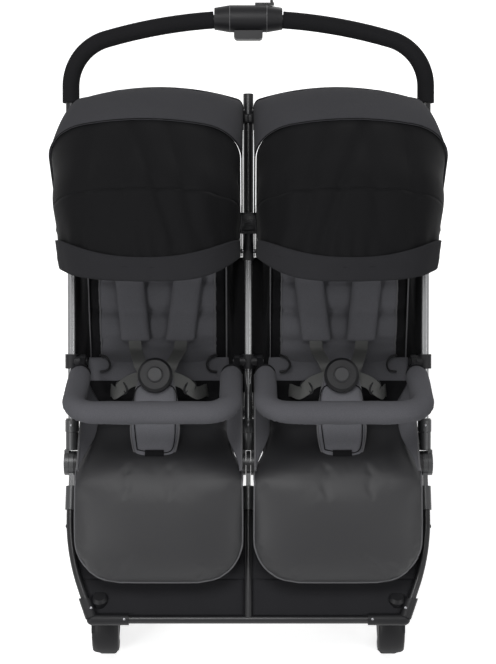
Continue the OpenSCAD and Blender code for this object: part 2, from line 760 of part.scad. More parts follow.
module bumper_arm(x0, pad_x) {
    cup = 8;
    difference() {
        union() {
            translate([x0, 0, 0]) rod(0, bumper_arm_t, 26);
            translate([x0, -bumper_pad_from + cup, -11]) cube([bumper_arm_t, bumper_pad_from - cup, 22]);
            translate([pad_x, -bumper_pad_from + cup, 0]) rotate([90, 0, 0])
                cylinder(d1 = bumper_d - 14, d2 = bumper_d - 6, h = cup);
        }
        rod(-side_offset, 2 * side_offset, bumper_pin_d + 2 * pin_clearance);
    }
}

module bumper_ends(side) {
    color(plastic_black) mirror([side < 0 ? 1 : 0, 0, 0]) on_bumper() {
        bumper_arm(arm_in_x, bumper_inner_x);
        bumper_arm(side_offset - arm_in_x - bumper_arm_t, bumper_outer_x);
    }
}

module left_bumper_pad() bumper_pad(-1);
module right_bumper_pad() bumper_pad(1);
module left_bumper_ends() bumper_ends(-1);
module right_bumper_ends() bumper_ends(1);

// Upper frame

// The right half of the handle in the plane of the tubes, as far as arch_turn degrees along the arch
module half_handle(d, bore, from, arch_turn) {
    rotate([90, 0, 0]) {
        translate([side_offset, from, 0]) rotate([-90, 0, 0]) pipe(d, bore, corner_at - from);
        translate([corner_x, corner_at, 0]) {
            rotate_extrude(angle = corner_turn) translate([handle_corner_r, 0]) ring(d, bore);
            rotate([0, 0, corner_turn]) translate([handle_corner_r - handle_arch_r, 0, 0])
                rotate_extrude(angle = arch_turn) translate([handle_arch_r, 0]) ring(d, bore);
        }
    }
}

// Turn of the arch from the corner to the distance x from the middle
function arch_to(x) = 90 - corner_turn - asin(x / handle_arch_r);

// Two halves that meet inside the housing
module handle_bar() {
    half_gap = 1;
    color(frame_black) on_tube(0, 0) for (turn = [0, 180]) rotate([0, 0, turn])
        half_handle(upper_tube_d, main_tube_d + 2 * slide_clearance, upper_tube_start, arch_to(half_gap));
}

module foam_grips() {
    grip_gap = 1.2;
    color(plastic_black) on_tube(0, 0) for (turn = [0, 180]) rotate([0, 0, turn])
        half_handle(grip_d, upper_tube_d, grip_start, arch_to(housing_half + cap_length + grip_gap));
}

trigger_top = -upper_tube_d / 2 - trigger_travel - 2;
lock_start = 13;

module handle_module() {
    color(plastic_black) difference() {
        on_tube(0, handle_at) {
            difference() {
                rod(-housing_half, housing_half, housing_d);
                // trigger well
                translate([-trigger_w / 2 - button_gap, -trigger_depth / 2 - button_gap, -housing_d])
                    cube([trigger_w + 2 * button_gap, trigger_depth + 2 * button_gap,
                          housing_d + trigger_top + trigger_travel + button_gap]);
                // lock groove
                translate([lock_start - lock_travel - button_gap, -lock_w / 2 - button_gap, housing_d / 2 - 5])
                    cube([housing_half, lock_w + 2 * button_gap, 10]);
            }
            both_sides() translate([housing_half, 0, 0]) rotate([0, 90, 0])
                cylinder(d1 = housing_d, d2 = cap_end_d, h = cap_length);
        }
        on_tube(0, handle_at - handle_arch_r) rotate([90, 0, 0]) rotate([0, 0, corner_turn])
            rotate_extrude(angle = 180 - 2 * corner_turn) translate([handle_arch_r, 0]) circle(d = upper_tube_d);
    }
}

module fold_trigger() {
    tall = housing_d / 2 + trigger_out + trigger_top;
    color(frame_black) on_tube(0, handle_at) translate([0, trigger_depth / 2, trigger_top - tall])
        rotate([90, 0, 0]) linear_extrude(trigger_depth) rounded_rect(trigger_w, tall, 7);
}

module fold_lock() {
    foot = 21;
    color(frame_black) on_tube(0, handle_at)
    translate([lock_start, -lock_w / 2, housing_d / 2 - 5 + button_gap]) {
        cube([foot, lock_w, 6]);
        translate([0, 0, 5]) cube([lock_length, lock_w, 4]);
        translate([lock_length - lock_tip[0], 0, 5]) rotate([0, -lock_tip_tilt, 0])
            cube([lock_tip[0], lock_w, lock_tip[1]]);
    }
}

module centre_upright() {
    cap_at = handle_at - 146;
    color(frame_black) on_tube(0, upper_tube_start) {
        difference() {
            cylinder(d = upper_tube_d, h = cap_at - upper_tube_start);
            translate([0, 0, -1])
                cylinder(d = main_tube_d + 2 * slide_clearance, h = cap_at - upper_tube_start - 2);
        }
    }
}

module upper_crossbars() {
    color(frame_black) both_sides() difference() {
        on_tube(0, upper_crossbar_at) rod(0, side_offset, crossbar_d);
        on_tube(0, upper_crossbar_at) rod(-1, side_offset + 1, crossbar_d - 2 * tube_wall);
        on_tube(0, upper_tube_start) cylinder(d = upper_tube_d, h = handle_at);
        on_tube(side_offset, upper_tube_start) cylinder(d = upper_tube_d, h = handle_at);
    }
}

// Sleeve that runs on a main tube, with the socket for the upper tube in its top; the middle one also
// carries the wide block between the canopies
module slide_sleeve(block) {
    block_w = 48;
    block_depth = 24;
    block_h = 36;
    block_from = sleeve_length + socket_collar_length - 2;
    difference() {
        union() {
            rotate([0, 0, 90]) cylinder(d = sleeve_d, h = sleeve_length + socket_collar_length);
            if (block) translate([0, block_depth / 2, block_from]) rotate([90, 0, 0]) linear_extrude(block_depth)
                rounded_rect(block_w, block_h, 9);
        }
        rotate([0, 0, 90]) translate([0, 0, -1])
            cylinder(d = main_tube_d + 2 * slide_clearance, h = sleeve_length + 2);
        translate([0, 0, sleeve_length]) cylinder(d = upper_tube_d, h = socket_collar_length + block_h);
        translate([0, 0, sleeve_length / 2]) rod(-40, 40, canopy_pin_d);
    }
}

module slide_sleeves() {
    color(plastic_black) for (x = [-side_offset, 0, side_offset]) on_tube(x, sleeve_start) slide_sleeve(x == 0);
}

// Pins that the canopy bows turn on
module canopy_pivots() {
    stack = 3 * (panel_t + panel_gap) + panel_gap;
    inner = main_tube_d / 2 + slide_clearance + 0.4;
    color(rim_grey) on_tube(0, canopy_pivot_at) both_sides() {
        rod(inner, sleeve_d / 2 + stack, canopy_pin_d);
        rod(sleeve_d / 2 + stack, sleeve_d / 2 + stack + 2, canopy_pin_d + 6);
        translate([side_offset, 0, 0]) {
            rod(inner, sleeve_d / 2 + stack, canopy_pin_d);
            rod(sleeve_d / 2 + stack, sleeve_d / 2 + stack + 2, canopy_pin_d + 6);
        }
    }
}

// Half outline of a canopy across its width, as [distance from the pivot, distance from the middle]
function half_outline(half, r, rs, steps) = let (
        flat = half - rs, sag = canopy_crown, arch = (flat * flat + sag * sag) / (2 * sag),
        turn = asin(flat / arch), hub = [r - sag - rs * cos(turn), flat - rs * sin(turn)])
    concat([for (k = [0:steps]) let (a = turn * k / steps) [r - arch * (1 - cos(a)), arch * sin(a)]],
           [for (k = [1:steps]) let (a = turn + (90 - turn) * k / steps) hub + rs * [cos(a), sin(a)]]);

// The same line scaled out to the full width
function outline(half, r, rs) = let (line = half_outline(half, r, rs, 8), last = len(line) - 1,
        grow = half / line[last][1])
    concat([for (k = [last:-1:1]) [line[k][0], -line[k][1] * grow]], [for (p = line) [p[0], p[1] * grow]]);

// Outline of layer k as an arch of thickness panel_t, open towards the pivot
module canopy_arch(k) {
    half = canopy_half - layer_in(k);
    r = canopy_r - layer_in(k);
    outer = outline(half, r, shoulder_r);
    inner = outline(half - panel_t, r - panel_t, shoulder_r - panel_t);
    polygon(concat([[panel_inner_r, -half]], outer, [[panel_inner_r, half], [panel_inner_r, half - panel_t]],
        [for (j = [len(inner) - 1:-1:0]) inner[j]], [[panel_inner_r, -half + panel_t]]));
}

// Turns the outline about the X axis from angle a0 to a1, degrees up from straight ahead
module turned(a0, a1) {
    rotate([90, 0, 0]) rotate([0, -90, 0]) rotate([0, 0, a0]) rotate_extrude(angle = a1 - a0) children();
}

module canopy_bow(k, a) {
    half = canopy_half - layer_in(k);
    for (x = [-half, half - panel_t]) {
        difference() {
            union() {
                translate([x, 0, 0]) rod(0, panel_t, bow_eye_d);
                rotate([-a, 0, 0]) translate([x, -panel_inner_r - bow_lap, -bow_w / 2])
                    cube([panel_t, panel_inner_r + bow_lap - bow_eye_d / 3, bow_w]);
            }
            rod(-canopy_half - 20, canopy_half + 20, canopy_pin_d + 2 * pin_clearance);
        }
    }
}

module canopy_piece(side, k, a0, a1, bow_a) {
    color(k == 0 ? cloth_grey : cloth_dark)
        translate([side * canopy_x, along(canopy_pivot_at)[0], along(canopy_pivot_at)[1]]) {
            turned(a0, a1) canopy_arch(k);
            canopy_bow(k, bow_a);
        }
}

bow_half_a = asin((bow_w / 2 + 1) / panel_inner_r);
bow_lap = 12;

module left_canopy_rear() canopy_piece(-1, 0, seam_a, rear_edge_a, seam_a + bow_half_a);
module right_canopy_rear() canopy_piece(1, 0, seam_a, rear_edge_a, seam_a + bow_half_a);
module left_canopy_mid() canopy_piece(-1, 1, mid_a, seam_a + lap_a, mid_a + bow_half_a);
module right_canopy_mid() canopy_piece(1, 1, mid_a, seam_a + lap_a, mid_a + bow_half_a);
module left_canopy_front() canopy_piece(-1, 2, hem_a, mid_a + lap_a, hem_a + bow_half_a);
module right_canopy_front() canopy_piece(1, 2, hem_a, mid_a + lap_a, hem_a + bow_half_a);

// Front legs

// An outer front leg: straight, bent in, straight again to the castor bracket
module outer_leg_path(d, bore, from, to) {
    on_front_leg(0) rotate([90, 0, 0]) {
        translate([side_offset, from, 0]) rotate([-90, 0, 0]) pipe(d, bore, leg_bend_at - from);
        translate([side_offset - leg_bend_r, leg_bend_at, 0]) {
            rotate_extrude(angle = leg_bend_a) translate([leg_bend_r, 0]) ring(d, bore);
            rotate([0, 0, leg_bend_a]) translate([leg_bend_r, 0, 0]) rotate([-90, 0, 0])
                pipe(d, bore, (to - leg_bend_end) / cos(leg_bend_a));
        }
    }
}

leg_socket_from = hinge_d / 2 + 22;
leg_socket_to = leg_socket_from + 46;

// Leaf, tongue and socket that join a front leg to its hinge
module leg_knuckle() {
    difference() {
        union() {
            rod(-leaf_t / 2, leaf_t / 2, hinge_d);
            translate([-leaf_t / 2, -10, 0]) cube([leaf_t, 20, leg_socket_from + 4]);
            translate([0, 0, leg_socket_from]) cylinder(d = leg_tube_d + 6, h = leg_socket_to - leg_socket_from);
        }
        rod(-40, 40, hinge_pin_d + 2 * pin_clearance);
        translate([0, 0, leg_socket_from + 4]) cylinder(d = leg_tube_d, h = front_crossbar_at);
    }
}

module front_legs() {
    color(frame_black) {
        both_sides() outer_leg_path(leg_tube_d, leg_tube_d - 2 * tube_wall, leg_socket_from + 4, leg_end);
        // centre leg welded to the crossbar
        difference() {
            union() {
                on_front_leg(0) translate([0, 0, leg_socket_from + 4])
                    cylinder(d = leg_tube_d - 0.4, h = front_crossbar_at - leg_socket_from - 4);
                translate([0, front_crossbar[0], front_crossbar[1]]) rod(-crossbar_end, crossbar_end, leg_tube_d);
            }
            translate([0, front_crossbar[0], front_crossbar[1]])
                rod(-crossbar_end - 1, crossbar_end + 1, leg_tube_d - 2 * tube_wall);
            on_front_leg(0) translate([0, 0, leg_socket_from + 3])
                cylinder(d = leg_tube_d - 2 * tube_wall,
                         h = front_crossbar_at - leg_tube_d / 2 - tube_wall - leg_socket_from - 3);
        }
    }
}

module leg_knuckles() {
    color(plastic_black) for (x = [-side_offset, 0, side_offset]) on_front_leg(x) leg_knuckle();
}

crossbar_end = crossbar_socket_x + 36;

// Moulded corner: leg socket, crossbar socket and castor post in one
module castor_bracket() {
    difference() {
        union() {
            intersection() {
                outer_leg_path(leg_tube_d + 8, 0, leg_bend_at - 10, leg_end + 4);
                on_front_leg(0) translate([0, -60, bracket_leg_in]) cube([side_offset, 120, 60]);
            }
            translate([0, front_crossbar[0], front_crossbar[1]]) {
                rod(crossbar_socket_x, leg_x(front_crossbar_at), crossbar_socket_d);
                translate([leg_x(front_crossbar_at), 0, 0]) sphere(d = crossbar_socket_d);
            }
            translate([castor_offset, -castor_forward, post_bottom]) {
                cylinder(d = post_d, h = post_top - post_bottom - 6);
                translate([0, 0, post_top - post_bottom - 6]) cylinder(d1 = post_d, d2 = post_d - 10, h = 6);
            }
            // web between the post and the crossbar socket
            translate([castor_offset - 26, front_crossbar[0], post_bottom + 1])
                cube([24, -castor_forward - front_crossbar[0], 16]);
        }
        outer_leg_path(leg_tube_d, 0, leg_bend_at - 1, leg_end);
        translate([0, front_crossbar[0], front_crossbar[1]]) rod(0, crossbar_end, leg_tube_d);
        translate([castor_offset, -castor_forward, post_bottom - 1])
            cylinder(d = stem_d + 2 * pin_clearance, h = 30);
    }
}

module castor_brackets() {
    color(plastic_black) both_sides() castor_bracket();
}

module footwell_panels() {
    panel_from = front_crossbar_at - 77;
    panel_to = front_crossbar_at - 3;
    wing_from = leg_bend_at + 30;
    wing_to = panel_from + 4;
    wing_step = (wing_to - wing_from) / 4;
    middle = leg_tube_d / 2 + 4;
    bracket = crossbar_socket_x - 14;
    basket_outer = basket_inner + basket_w + 4;
    post_in = castor_offset - post_d / 2 - 6;
    at_leg = [for (k = [0:4]) let (s = wing_from + k * wing_step)
                  [leg_bend_line(s) - leg_tube_d / 2 - 1.5, s]];
    color(cloth_dark) both_sides() difference() {
        on_front_leg(0) translate([0, -1, 0]) rotate([90, 0, 0]) linear_extrude(panel_t)
            polygon(concat([[middle, wing_from + 20], [basket_inner - 6, wing_from + 20],
                            [basket_inner - 6, panel_from], [basket_outer, panel_from],
                            [basket_outer, wing_from]],
                           at_leg,
                           [[post_in, wing_to + 10], [bracket + 36, panel_to - 24],
                            [bracket, panel_to - 10], [bracket, panel_to], [middle, panel_to]]));
        translate([0, front_crossbar[0], front_crossbar[1]]) rod(0, crossbar_end, leg_tube_d);
    }
}

// Castors and wheels, drawn for the right side with the wheel axis as local X

module castor_fork(side) {
    hood_in = front_wheel_d / 2 + hood_gap;
    hood_out = hood_in + hood_t;
    arm_in = front_tyre_w / 2 + 2;
    arm_t = 9;
    cheek_in = arm_in + 1;
    cheek_out = arm_in + arm_t - 1;
    hood_side = 20;
    hood_round = 10;
    hood_lip = 6;
    hood_half = arm_in + (arm_t + hood_lip) / 2;
    hood_mid = (hood_lip - arm_t) / 2;
    color(plastic_black) mirror([side < 0 ? 1 : 0, 0, 0]) translate([castor_offset, -castor_forward, 0]) {
        translate([-front_wheel_shift, castor_trail, front_wheel_d / 2]) {
            // rounded hood over the front and top of the wheel, down both sides of its tyre
            turned(-10, 112) difference() {
                polygon(concat([[hood_in - hood_side, hood_mid - hood_half]],
                    [for (a = [0:15:180]) [hood_in - hood_round + (hood_t + hood_round) * pow(sin(a), 0.45),
                                           hood_mid - hood_half * cos(a)]],
                    [[hood_in - hood_side, hood_mid + hood_half]]));
                translate([hood_in - hood_side - 1, -arm_in]) square([hood_side + 1, 2 * arm_in]);
            }
            // outer cheek down to the axle
            rod(cheek_in, cheek_out, 34);
            intersection() {
                rod(cheek_in, cheek_out, 2 * hood_out - 4);
                rotate([38, 0, 0]) translate([cheek_in, -26, 0]) cube([cheek_out - cheek_in, 52, hood_out]);
            }
            rod(-front_tyre_w / 2 - 1, cheek_in + 1, axle_d);
            rod(-front_tyre_w / 2 - 3, -front_tyre_w / 2 - 1, axle_d + 6);
        }
        translate([0, 0, post_bottom - castor_gap - 10]) cylinder(d = post_d - 6, h = 10);
        translate([0, 0, post_bottom - castor_gap - 1]) cylinder(d = stem_d, h = 28);
    }
}

// Hub and spokes of a wheel
module wheel_rim(d, w, tyre_t) {
    rim_d = d - 2 * tyre_t;
    rim_t = 5;
    spokes = 6;
    difference() {
        union() {
            difference() {
                rod(-w / 2 + 3, w / 2 - 3, rim_d);
                rod(-w, w, rim_d - 2 * rim_t);
            }
            rod(-w / 2, w / 2, axle_d + 14);
            for (k = [0:spokes - 1]) rotate([k * 360 / spokes, 0, 0])
                translate([-w / 6, -5, 0]) cube([w / 3, 10, rim_d / 2 - rim_t / 2]);
        }
        rod(-w, w, axle_d + 2 * wheel_play);
    }
}

module wheel_tyre(d, w, tyre_t) {
    rotate([0, 90, 0]) rotate_extrude() difference() {
        union() {
            translate([d / 2 - tyre_t, -w / 2 + 5]) square([tyre_t, w - 10]);
            translate([d / 2 - tyre_t, -w / 2]) square([tyre_t - 5, w]);
            for (y = [-1, 1]) translate([d / 2 - 5, y * (w / 2 - 5)]) circle(r = 5);
        }
        translate([0, -w]) square([d / 2 - tyre_t, 2 * w]);
    }
}

tyre_t = 14;

module at_front_wheel(side) {
    translate([side * (castor_offset - front_wheel_shift), front_axle[0], front_axle[1]]) children();
}

module at_rear_wheel(side) {
    translate([side * (rear_wheel_in + rear_tyre_w / 2), rear_axle_at[0], rear_axle_at[1]]) children();
}

module left_castor_fork() castor_fork(-1);
module right_castor_fork() castor_fork(1);
module left_front_tyre() color(tyre_black) at_front_wheel(-1) wheel_tyre(front_wheel_d, front_tyre_w, tyre_t);
module right_front_tyre() color(tyre_black) at_front_wheel(1) wheel_tyre(front_wheel_d, front_tyre_w, tyre_t);
module left_front_rim() color(rim_grey) at_front_wheel(-1) wheel_rim(front_wheel_d, front_tyre_w, tyre_t);
module right_front_rim() color(rim_grey) at_front_wheel(1) wheel_rim(front_wheel_d, front_tyre_w, tyre_t);
module left_rear_tyre() color(tyre_black) at_rear_wheel(-1) wheel_tyre(rear_wheel_d, rear_tyre_w, tyre_t);
module right_rear_tyre() color(tyre_black) at_rear_wheel(1) wheel_tyre(rear_wheel_d, rear_tyre_w, tyre_t);
module left_rear_rim() color(rim_grey) at_rear_wheel(-1) wheel_rim(rear_wheel_d, rear_tyre_w, tyre_t);
module right_rear_rim() color(rim_grey) at_rear_wheel(1) wheel_rim(rear_wheel_d, rear_tyre_w, tyre_t);

// Rear end

module rear_legs() {
    tongue_to = 72;
    color(frame_black) both_sides() on_rear_leg(rear_leg_x) difference() {
        union() {
            rod(-leaf_t / 2, leaf_t / 2, hinge_d);
            translate([-leaf_t / 2, -7, 0]) cube([leaf_t, 14, tongue_to]);
            translate([0, 0, tongue_to - 12]) cylinder(d = leg_tube_d, h = rear_leg_length - tongue_to + 12);
            translate([0, 0, rear_leg_length]) rod(-rear_hub_w / 2, rear_hub_w / 2, rear_hub_d);
        }
        rod(-40, 40, hinge_pin_d + 2 * pin_clearance);
        translate([0, 0, rear_leg_length]) rod(-40, 40, axle_d);
    }
}

module rear_axle() {
    color(frame_black) translate([0, rear_axle_at[0], rear_axle_at[1]]) {
        rod(-rear_leg_x + rear_hub_w / 2, rear_leg_x - rear_hub_w / 2, axle_tube_d);
        rod(-rear_wheel_in - rear_tyre_w - 2, rear_wheel_in + rear_tyre_w + 2, axle_d);
    }
}

module brake_pedal() {
    ring_w = 46;
    ring_d = axle_tube_d + 10;
    color(plastic_black) translate([0, rear_axle_at[0], rear_axle_at[1]]) difference() {
        union() {
            rod(-ring_w / 2, ring_w / 2, ring_d);
            rotate([12, 0, 0]) translate([0, 4, -3]) linear_extrude(7) rounded_rect(ring_w, pedal_length, 10);
        }
        rod(-100, 100, axle_tube_d + 2 * slide_clearance);
    }
}

main_tubes();
hinge_housings();
hinge_pins();
seat_crossbars();
seat_bases();
left_seat_pad();
right_seat_pad();
crotch_pads();
buckles();
left_basket();
right_basket();
bumper_mounts();
left_buckle_button();
right_buckle_button();
handle_bar();
foam_grips();
handle_module();
centre_upright();
upper_crossbars();
slide_sleeves();
canopy_pivots();
left_canopy_rear();
right_canopy_rear();
fold_trigger();
fold_lock();
left_canopy_mid();
left_canopy_front();
right_canopy_mid();
right_canopy_front();
left_backrest_board();
left_backrest_pad();
left_shoulder_straps();
right_backrest_board();
right_backrest_pad();
right_shoulder_straps();
left_leg_rest_board();
left_leg_rest_pad();
right_leg_rest_board();
right_leg_rest_pad();
left_bumper_pad();
left_bumper_ends();
right_bumper_pad();
right_bumper_ends();
front_legs();
leg_knuckles();
castor_brackets();
footwell_panels();
left_castor_fork();
right_castor_fork();
left_front_tyre();
left_front_rim();
right_front_tyre();
right_front_rim();
rear_legs();
rear_axle();
left_rear_tyre();
left_rear_rim();
right_rear_tyre();
right_rear_rim();
brake_pedal();
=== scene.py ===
# Looks of the side by side double stroller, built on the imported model. All lengths are in metres.
from math import asin, cos, exp, pi, radians, sin, sqrt, tan

import bmesh
import bpy
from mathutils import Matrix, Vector, noise
from mathutils.bvhtree import BVHTree


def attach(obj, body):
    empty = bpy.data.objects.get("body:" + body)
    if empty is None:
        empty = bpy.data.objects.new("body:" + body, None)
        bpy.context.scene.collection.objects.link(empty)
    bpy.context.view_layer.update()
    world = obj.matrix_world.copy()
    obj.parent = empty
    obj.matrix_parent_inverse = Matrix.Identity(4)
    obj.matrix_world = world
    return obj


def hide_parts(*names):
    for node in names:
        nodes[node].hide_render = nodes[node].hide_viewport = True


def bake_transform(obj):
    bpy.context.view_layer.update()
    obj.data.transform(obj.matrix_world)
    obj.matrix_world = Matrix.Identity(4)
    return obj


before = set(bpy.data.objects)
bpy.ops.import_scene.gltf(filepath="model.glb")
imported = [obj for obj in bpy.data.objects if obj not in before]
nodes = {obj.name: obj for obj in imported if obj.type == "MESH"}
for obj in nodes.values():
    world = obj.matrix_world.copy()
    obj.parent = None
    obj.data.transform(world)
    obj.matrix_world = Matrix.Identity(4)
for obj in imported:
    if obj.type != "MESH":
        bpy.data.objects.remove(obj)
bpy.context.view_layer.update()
scene = bpy.context.scene

# Places that the pieces share with the model
HINGE = Vector((0, -0.15038, 0.330))
LEAN = radians(37.5)
TUBE_UP = Vector((0, sin(LEAN), cos(LEAN)))
TUBE_FRONT = Vector((0, -cos(LEAN), sin(LEAN)))
SIDE_X = 0.346
BAY_X = 0.178
CANOPY_X = 0.18875
CANOPY_HALF = 0.17725
CANOPY_R = 0.306
SHOULDER_R = 0.095
CROWN = 0.012
PANEL_INNER_R = 0.090
SEAM_A = 87.0
REAR_A = 124.5
MID_A = 57.0
HEM_A = 26.0
BOW_TURN = 4.5
SEAT_TOP = 0.381908
BACK_PIVOT = Vector((BAY_X, -0.00238, 0.390908))
BACK_LEAN = radians(22)
LEG_PIVOT = Vector((BAY_X, -0.25438, 0.376908))
LEG_DROP = radians(58)
CROTCH_FOOT = Vector((BAY_X, -0.19638, 0.412346))
CROTCH_LEAN = radians(50)
PAD_W = 0.296
BUMPER_RISE = radians(13)
FRONT_SLANT = radians(54)
FRONT_DOWN = Vector((0, -sin(FRONT_SLANT), -cos(FRONT_SLANT)))
FRONT_UP = Vector((0, -cos(FRONT_SLANT), sin(FRONT_SLANT)))
ACROSS = Vector((1, 0, 0))
SIDES = ((-1, "left"), (1, "right"))


def along(s, x=0.0):
    """The point at distance s up a frame tube that stands at x."""
    return HINGE + TUBE_UP * s + Vector((x, 0, 0))


CANOPY_PIVOT = along(0.416)
BUMPER_PIVOT = along(0.200)

# Materials
MOTTLE_SCALE = 9.0
GLOSS_SPREAD = 0.07
BUMP_DEPTH = 0.0006
FLECK_STOPS = ((0.3, 0.62), (0.7, 1.3))
WORN_FROM = 0.52
WORN_TO = 0.64


def material(name, color, rough, grain=0.0, grain_scale=400.0, mottle=0.1, metal=0.0, sheen=0.0, edge=0.0,
             weave=0.0, weave_scale=420.0, specular=0.5):
    """A surface with large soft variation, fine grain, an optional weave and lighter worn edges."""
    mat = bpy.data.materials.new(name)
    mat.use_nodes = True
    tree = mat.node_tree
    link = tree.links.new
    shader = tree.nodes["Principled BSDF"]
    surface = {"Metallic": metal, "Specular IOR Level": specular, "Sheen Weight": sheen,
               "Sheen Roughness": 0.5}
    for key, value in surface.items():
        shader.inputs[key].default_value = value

    def node(kind, inputs, **values):
        made = tree.nodes.new(kind)
        for key, value in values.items():
            setattr(made, key, value)
        for key, value in inputs.items():
            made.inputs[key].default_value = value
        return made

    def tint(share, more=0.0):
        return (*[min(1, c * share + more) for c in color], 1)

    coords = node("ShaderNodeTexCoord", {}).outputs["Object"]
    large = node("ShaderNodeTexNoise", {"Scale": MOTTLE_SCALE, "Detail": 4})
    fine = node("ShaderNodeTexNoise", {"Scale": grain_scale, "Detail": 2})
    for pattern in (large, fine):
        link(coords, pattern.inputs["Vector"])
    shades = node("ShaderNodeMix", {}, data_type="RGBA")
    shades.inputs["A"].default_value = tint(1 - mottle)
    shades.inputs["B"].default_value = tint(1 + mottle)
    link(large.outputs["Fac"], shades.inputs["Factor"])
    ramp = node("ShaderNodeValToRGB", {})
    for stop, (place, level) in zip(ramp.color_ramp.elements, FLECK_STOPS):
        stop.position = place
        stop.color = (level, level, level, 1)
    link(fine.outputs["Fac"], ramp.inputs["Fac"])
    flecks = node("ShaderNodeMix", {"Factor": min(1.0, grain)}, data_type="RGBA", blend_type="MULTIPLY")
    link(shades.outputs["Result"], flecks.inputs["A"])
    link(ramp.outputs["Color"], flecks.inputs["B"])
    last = flecks.outputs["Result"]
    if edge:
        worn = node("ShaderNodeMapRange", {"From Min": WORN_FROM, "From Max": WORN_TO, "To Max": edge})
        link(node("ShaderNodeNewGeometry", {}).outputs["Pointiness"], worn.inputs["Value"])
        rubbed = node("ShaderNodeMix", {}, data_type="RGBA")
        rubbed.inputs["B"].default_value = tint(2.2, 0.02)
        link(worn.outputs["Result"], rubbed.inputs["Factor"])
        link(last, rubbed.inputs["A"])
        last = rubbed.outputs["Result"]
    link(last, shader.inputs["Base Color"])

    gloss = node("ShaderNodeMapRange", {"To Min": max(0.05, rough - GLOSS_SPREAD),
                                        "To Max": min(1.0, rough + GLOSS_SPREAD)})
    link(large.outputs["Fac"], gloss.inputs["Value"])
    link(gloss.outputs["Result"], shader.inputs["Roughness"])

    height = fine.outputs["Fac"]
    if weave:
        cross = node("ShaderNodeMath", {}, operation="MAXIMUM")
        for row, direction in enumerate("XZ"):
            threads = node("ShaderNodeTexWave", {"Scale": weave_scale, "Distortion": 0.6}, wave_type="BANDS",
                           bands_direction=direction)
            link(coords, threads.inputs["Vector"])
            link(threads.outputs["Fac"], cross.inputs[row])
        both = node("ShaderNodeMath", {}, operation="ADD")
        link(cross.outputs["Value"], both.inputs[0])
        link(fine.outputs["Fac"], both.inputs[1])
        height = both.outputs["Value"]
    bump = node("ShaderNodeBump", {"Strength": max(weave, min(0.6, grain)), "Distance": BUMP_DEPTH})
    link(height, bump.inputs["Height"])
    link(bump.outputs["Normal"], shader.inputs["Normal"])
    return mat


def cloth(name, level, rough=0.88, specular=0.04, weave=0.35):
    """A woven polyester of the given grey level, a little cool."""
    return material(name, (level, level, level * 1.10), rough, grain=weave, grain_scale=900, mottle=0.12,
                    sheen=0.02, weave=weave, specular=specular)


def moulded(name, color, rough, specular, **more):
    """A plastic with a fine grain."""
    return material(name, color, rough, grain_scale=1500, specular=specular, **more)


CLOTH = cloth("cloth_grey", 0.042)
CLOTH_SEAT = cloth("cloth_seat", 0.094)
CLOTH_BUMPER = cloth("cloth_bumper", 0.084)
# The crotch pads' cloth is the seat cloth made lighter: painted light, for the light they catch below the
# bumper
CLOTH_CROTCH_PAINTED_LIGHT = cloth("cloth_crotch", 0.115)
CLOTH_DARK = cloth("cloth_dark", 0.0050, rough=0.6, specular=0.045)
CLOTH_WELL = cloth("cloth_well", 0.019)
# Near-black cloth for dark seams, and painted shade: the shadow under the canopy seam, the backrests' sides,
# the strap slots and the cloth behind the seats
CLOTH_SEAMS_AND_PAINTED_SHADE = cloth("cloth_shade", 0.008)
CLOTH_LEG = cloth("cloth_leg", 0.015, rough=0.5, specular=0.32, weave=0.12)
CLOTH_HEM = cloth("cloth_hem", 0.0195)
PIPING = material("piping", (0.095, 0.095, 0.10), 0.6, grain=0.2, grain_scale=1200, specular=0.08)
WEBBING = material("webbing", (0.088, 0.089, 0.087), 0.7, grain=0.3, grain_scale=1100, weave=0.5,
                   weave_scale=300, specular=0.08)
FOAM = material("foam", (0.011, 0.011, 0.012), 0.9, grain=0.5, grain_scale=700, mottle=0.12, specular=0.06)
PLASTIC = moulded("plastic_black", (0.007, 0.007, 0.008), 0.45, 0.18, grain=0.15, mottle=0.08, edge=0.25)
PLASTIC_GREY = moulded("plastic_grey", (0.030, 0.030, 0.032), 0.45, 0.2, grain=0.12, mottle=0.06, edge=0.3)
PAINT = material("frame_paint", (0.008, 0.008, 0.009), 0.32, grain=0.08, grain_scale=600, mottle=0.05,
                 edge=0.2, specular=0.3)
TUBE = material("tube_grey", (0.25, 0.252, 0.256), 0.24, grain=0.06, grain_scale=600, mottle=0.05, metal=0.9)
STEEL = material("steel", (0.20, 0.20, 0.21), 0.3, grain=0.1, grain_scale=900, mottle=0.05, metal=1.0)
RUBBER = material("tyre_rubber", (0.011, 0.011, 0.011), 0.8, grain=0.35, grain_scale=500, mottle=0.15,
                  specular=0.15)
RIM = material("rim_plastic", (0.20, 0.20, 0.21), 0.45, grain=0.1, grain_scale=1200, mottle=0.06, edge=0.2)
SATIN = material("satin_grey", (0.045, 0.046, 0.048), 0.36, grain=0.05, grain_scale=900, mottle=0.05,
                 metal=0.2)
SEAM = material("seam_line", (0.10, 0.10, 0.105), 0.4, grain=0.1, grain_scale=1200, mottle=0.05)


def both(*names):
    return [f"{side}_{name}" for name in names for k, side in SIDES]


CAD_LOOKS = {
    PAINT: ["seat_crossbars", "handle_bar", "centre_upright", "upper_crossbars", "front_legs", "rear_legs",
            "rear_axle"],
    TUBE: ["main_tubes"],
    STEEL: ["hinge_pins", "canopy_pivots"],
    PLASTIC: ["seat_bases", "buckles", "bumper_mounts", "handle_module", "slide_sleeves", "fold_trigger",
              "fold_lock", "castor_brackets", "brake_pedal",
              *both("bumper_ends", "castor_fork", "backrest_board", "leg_rest_board")],
    PLASTIC_GREY: both("buckle_button"),
    SATIN: ["hinge_housings", "leg_knuckles"],
    FOAM: ["foam_grips"],
    RUBBER: both("front_tyre", "rear_tyre"),
    RIM: both("front_rim", "rear_rim"),
}
for look, names in CAD_LOOKS.items():
    for name in names:
        nodes[name].data.materials.clear()
        nodes[name].data.materials.append(look)

# Mesh helpers


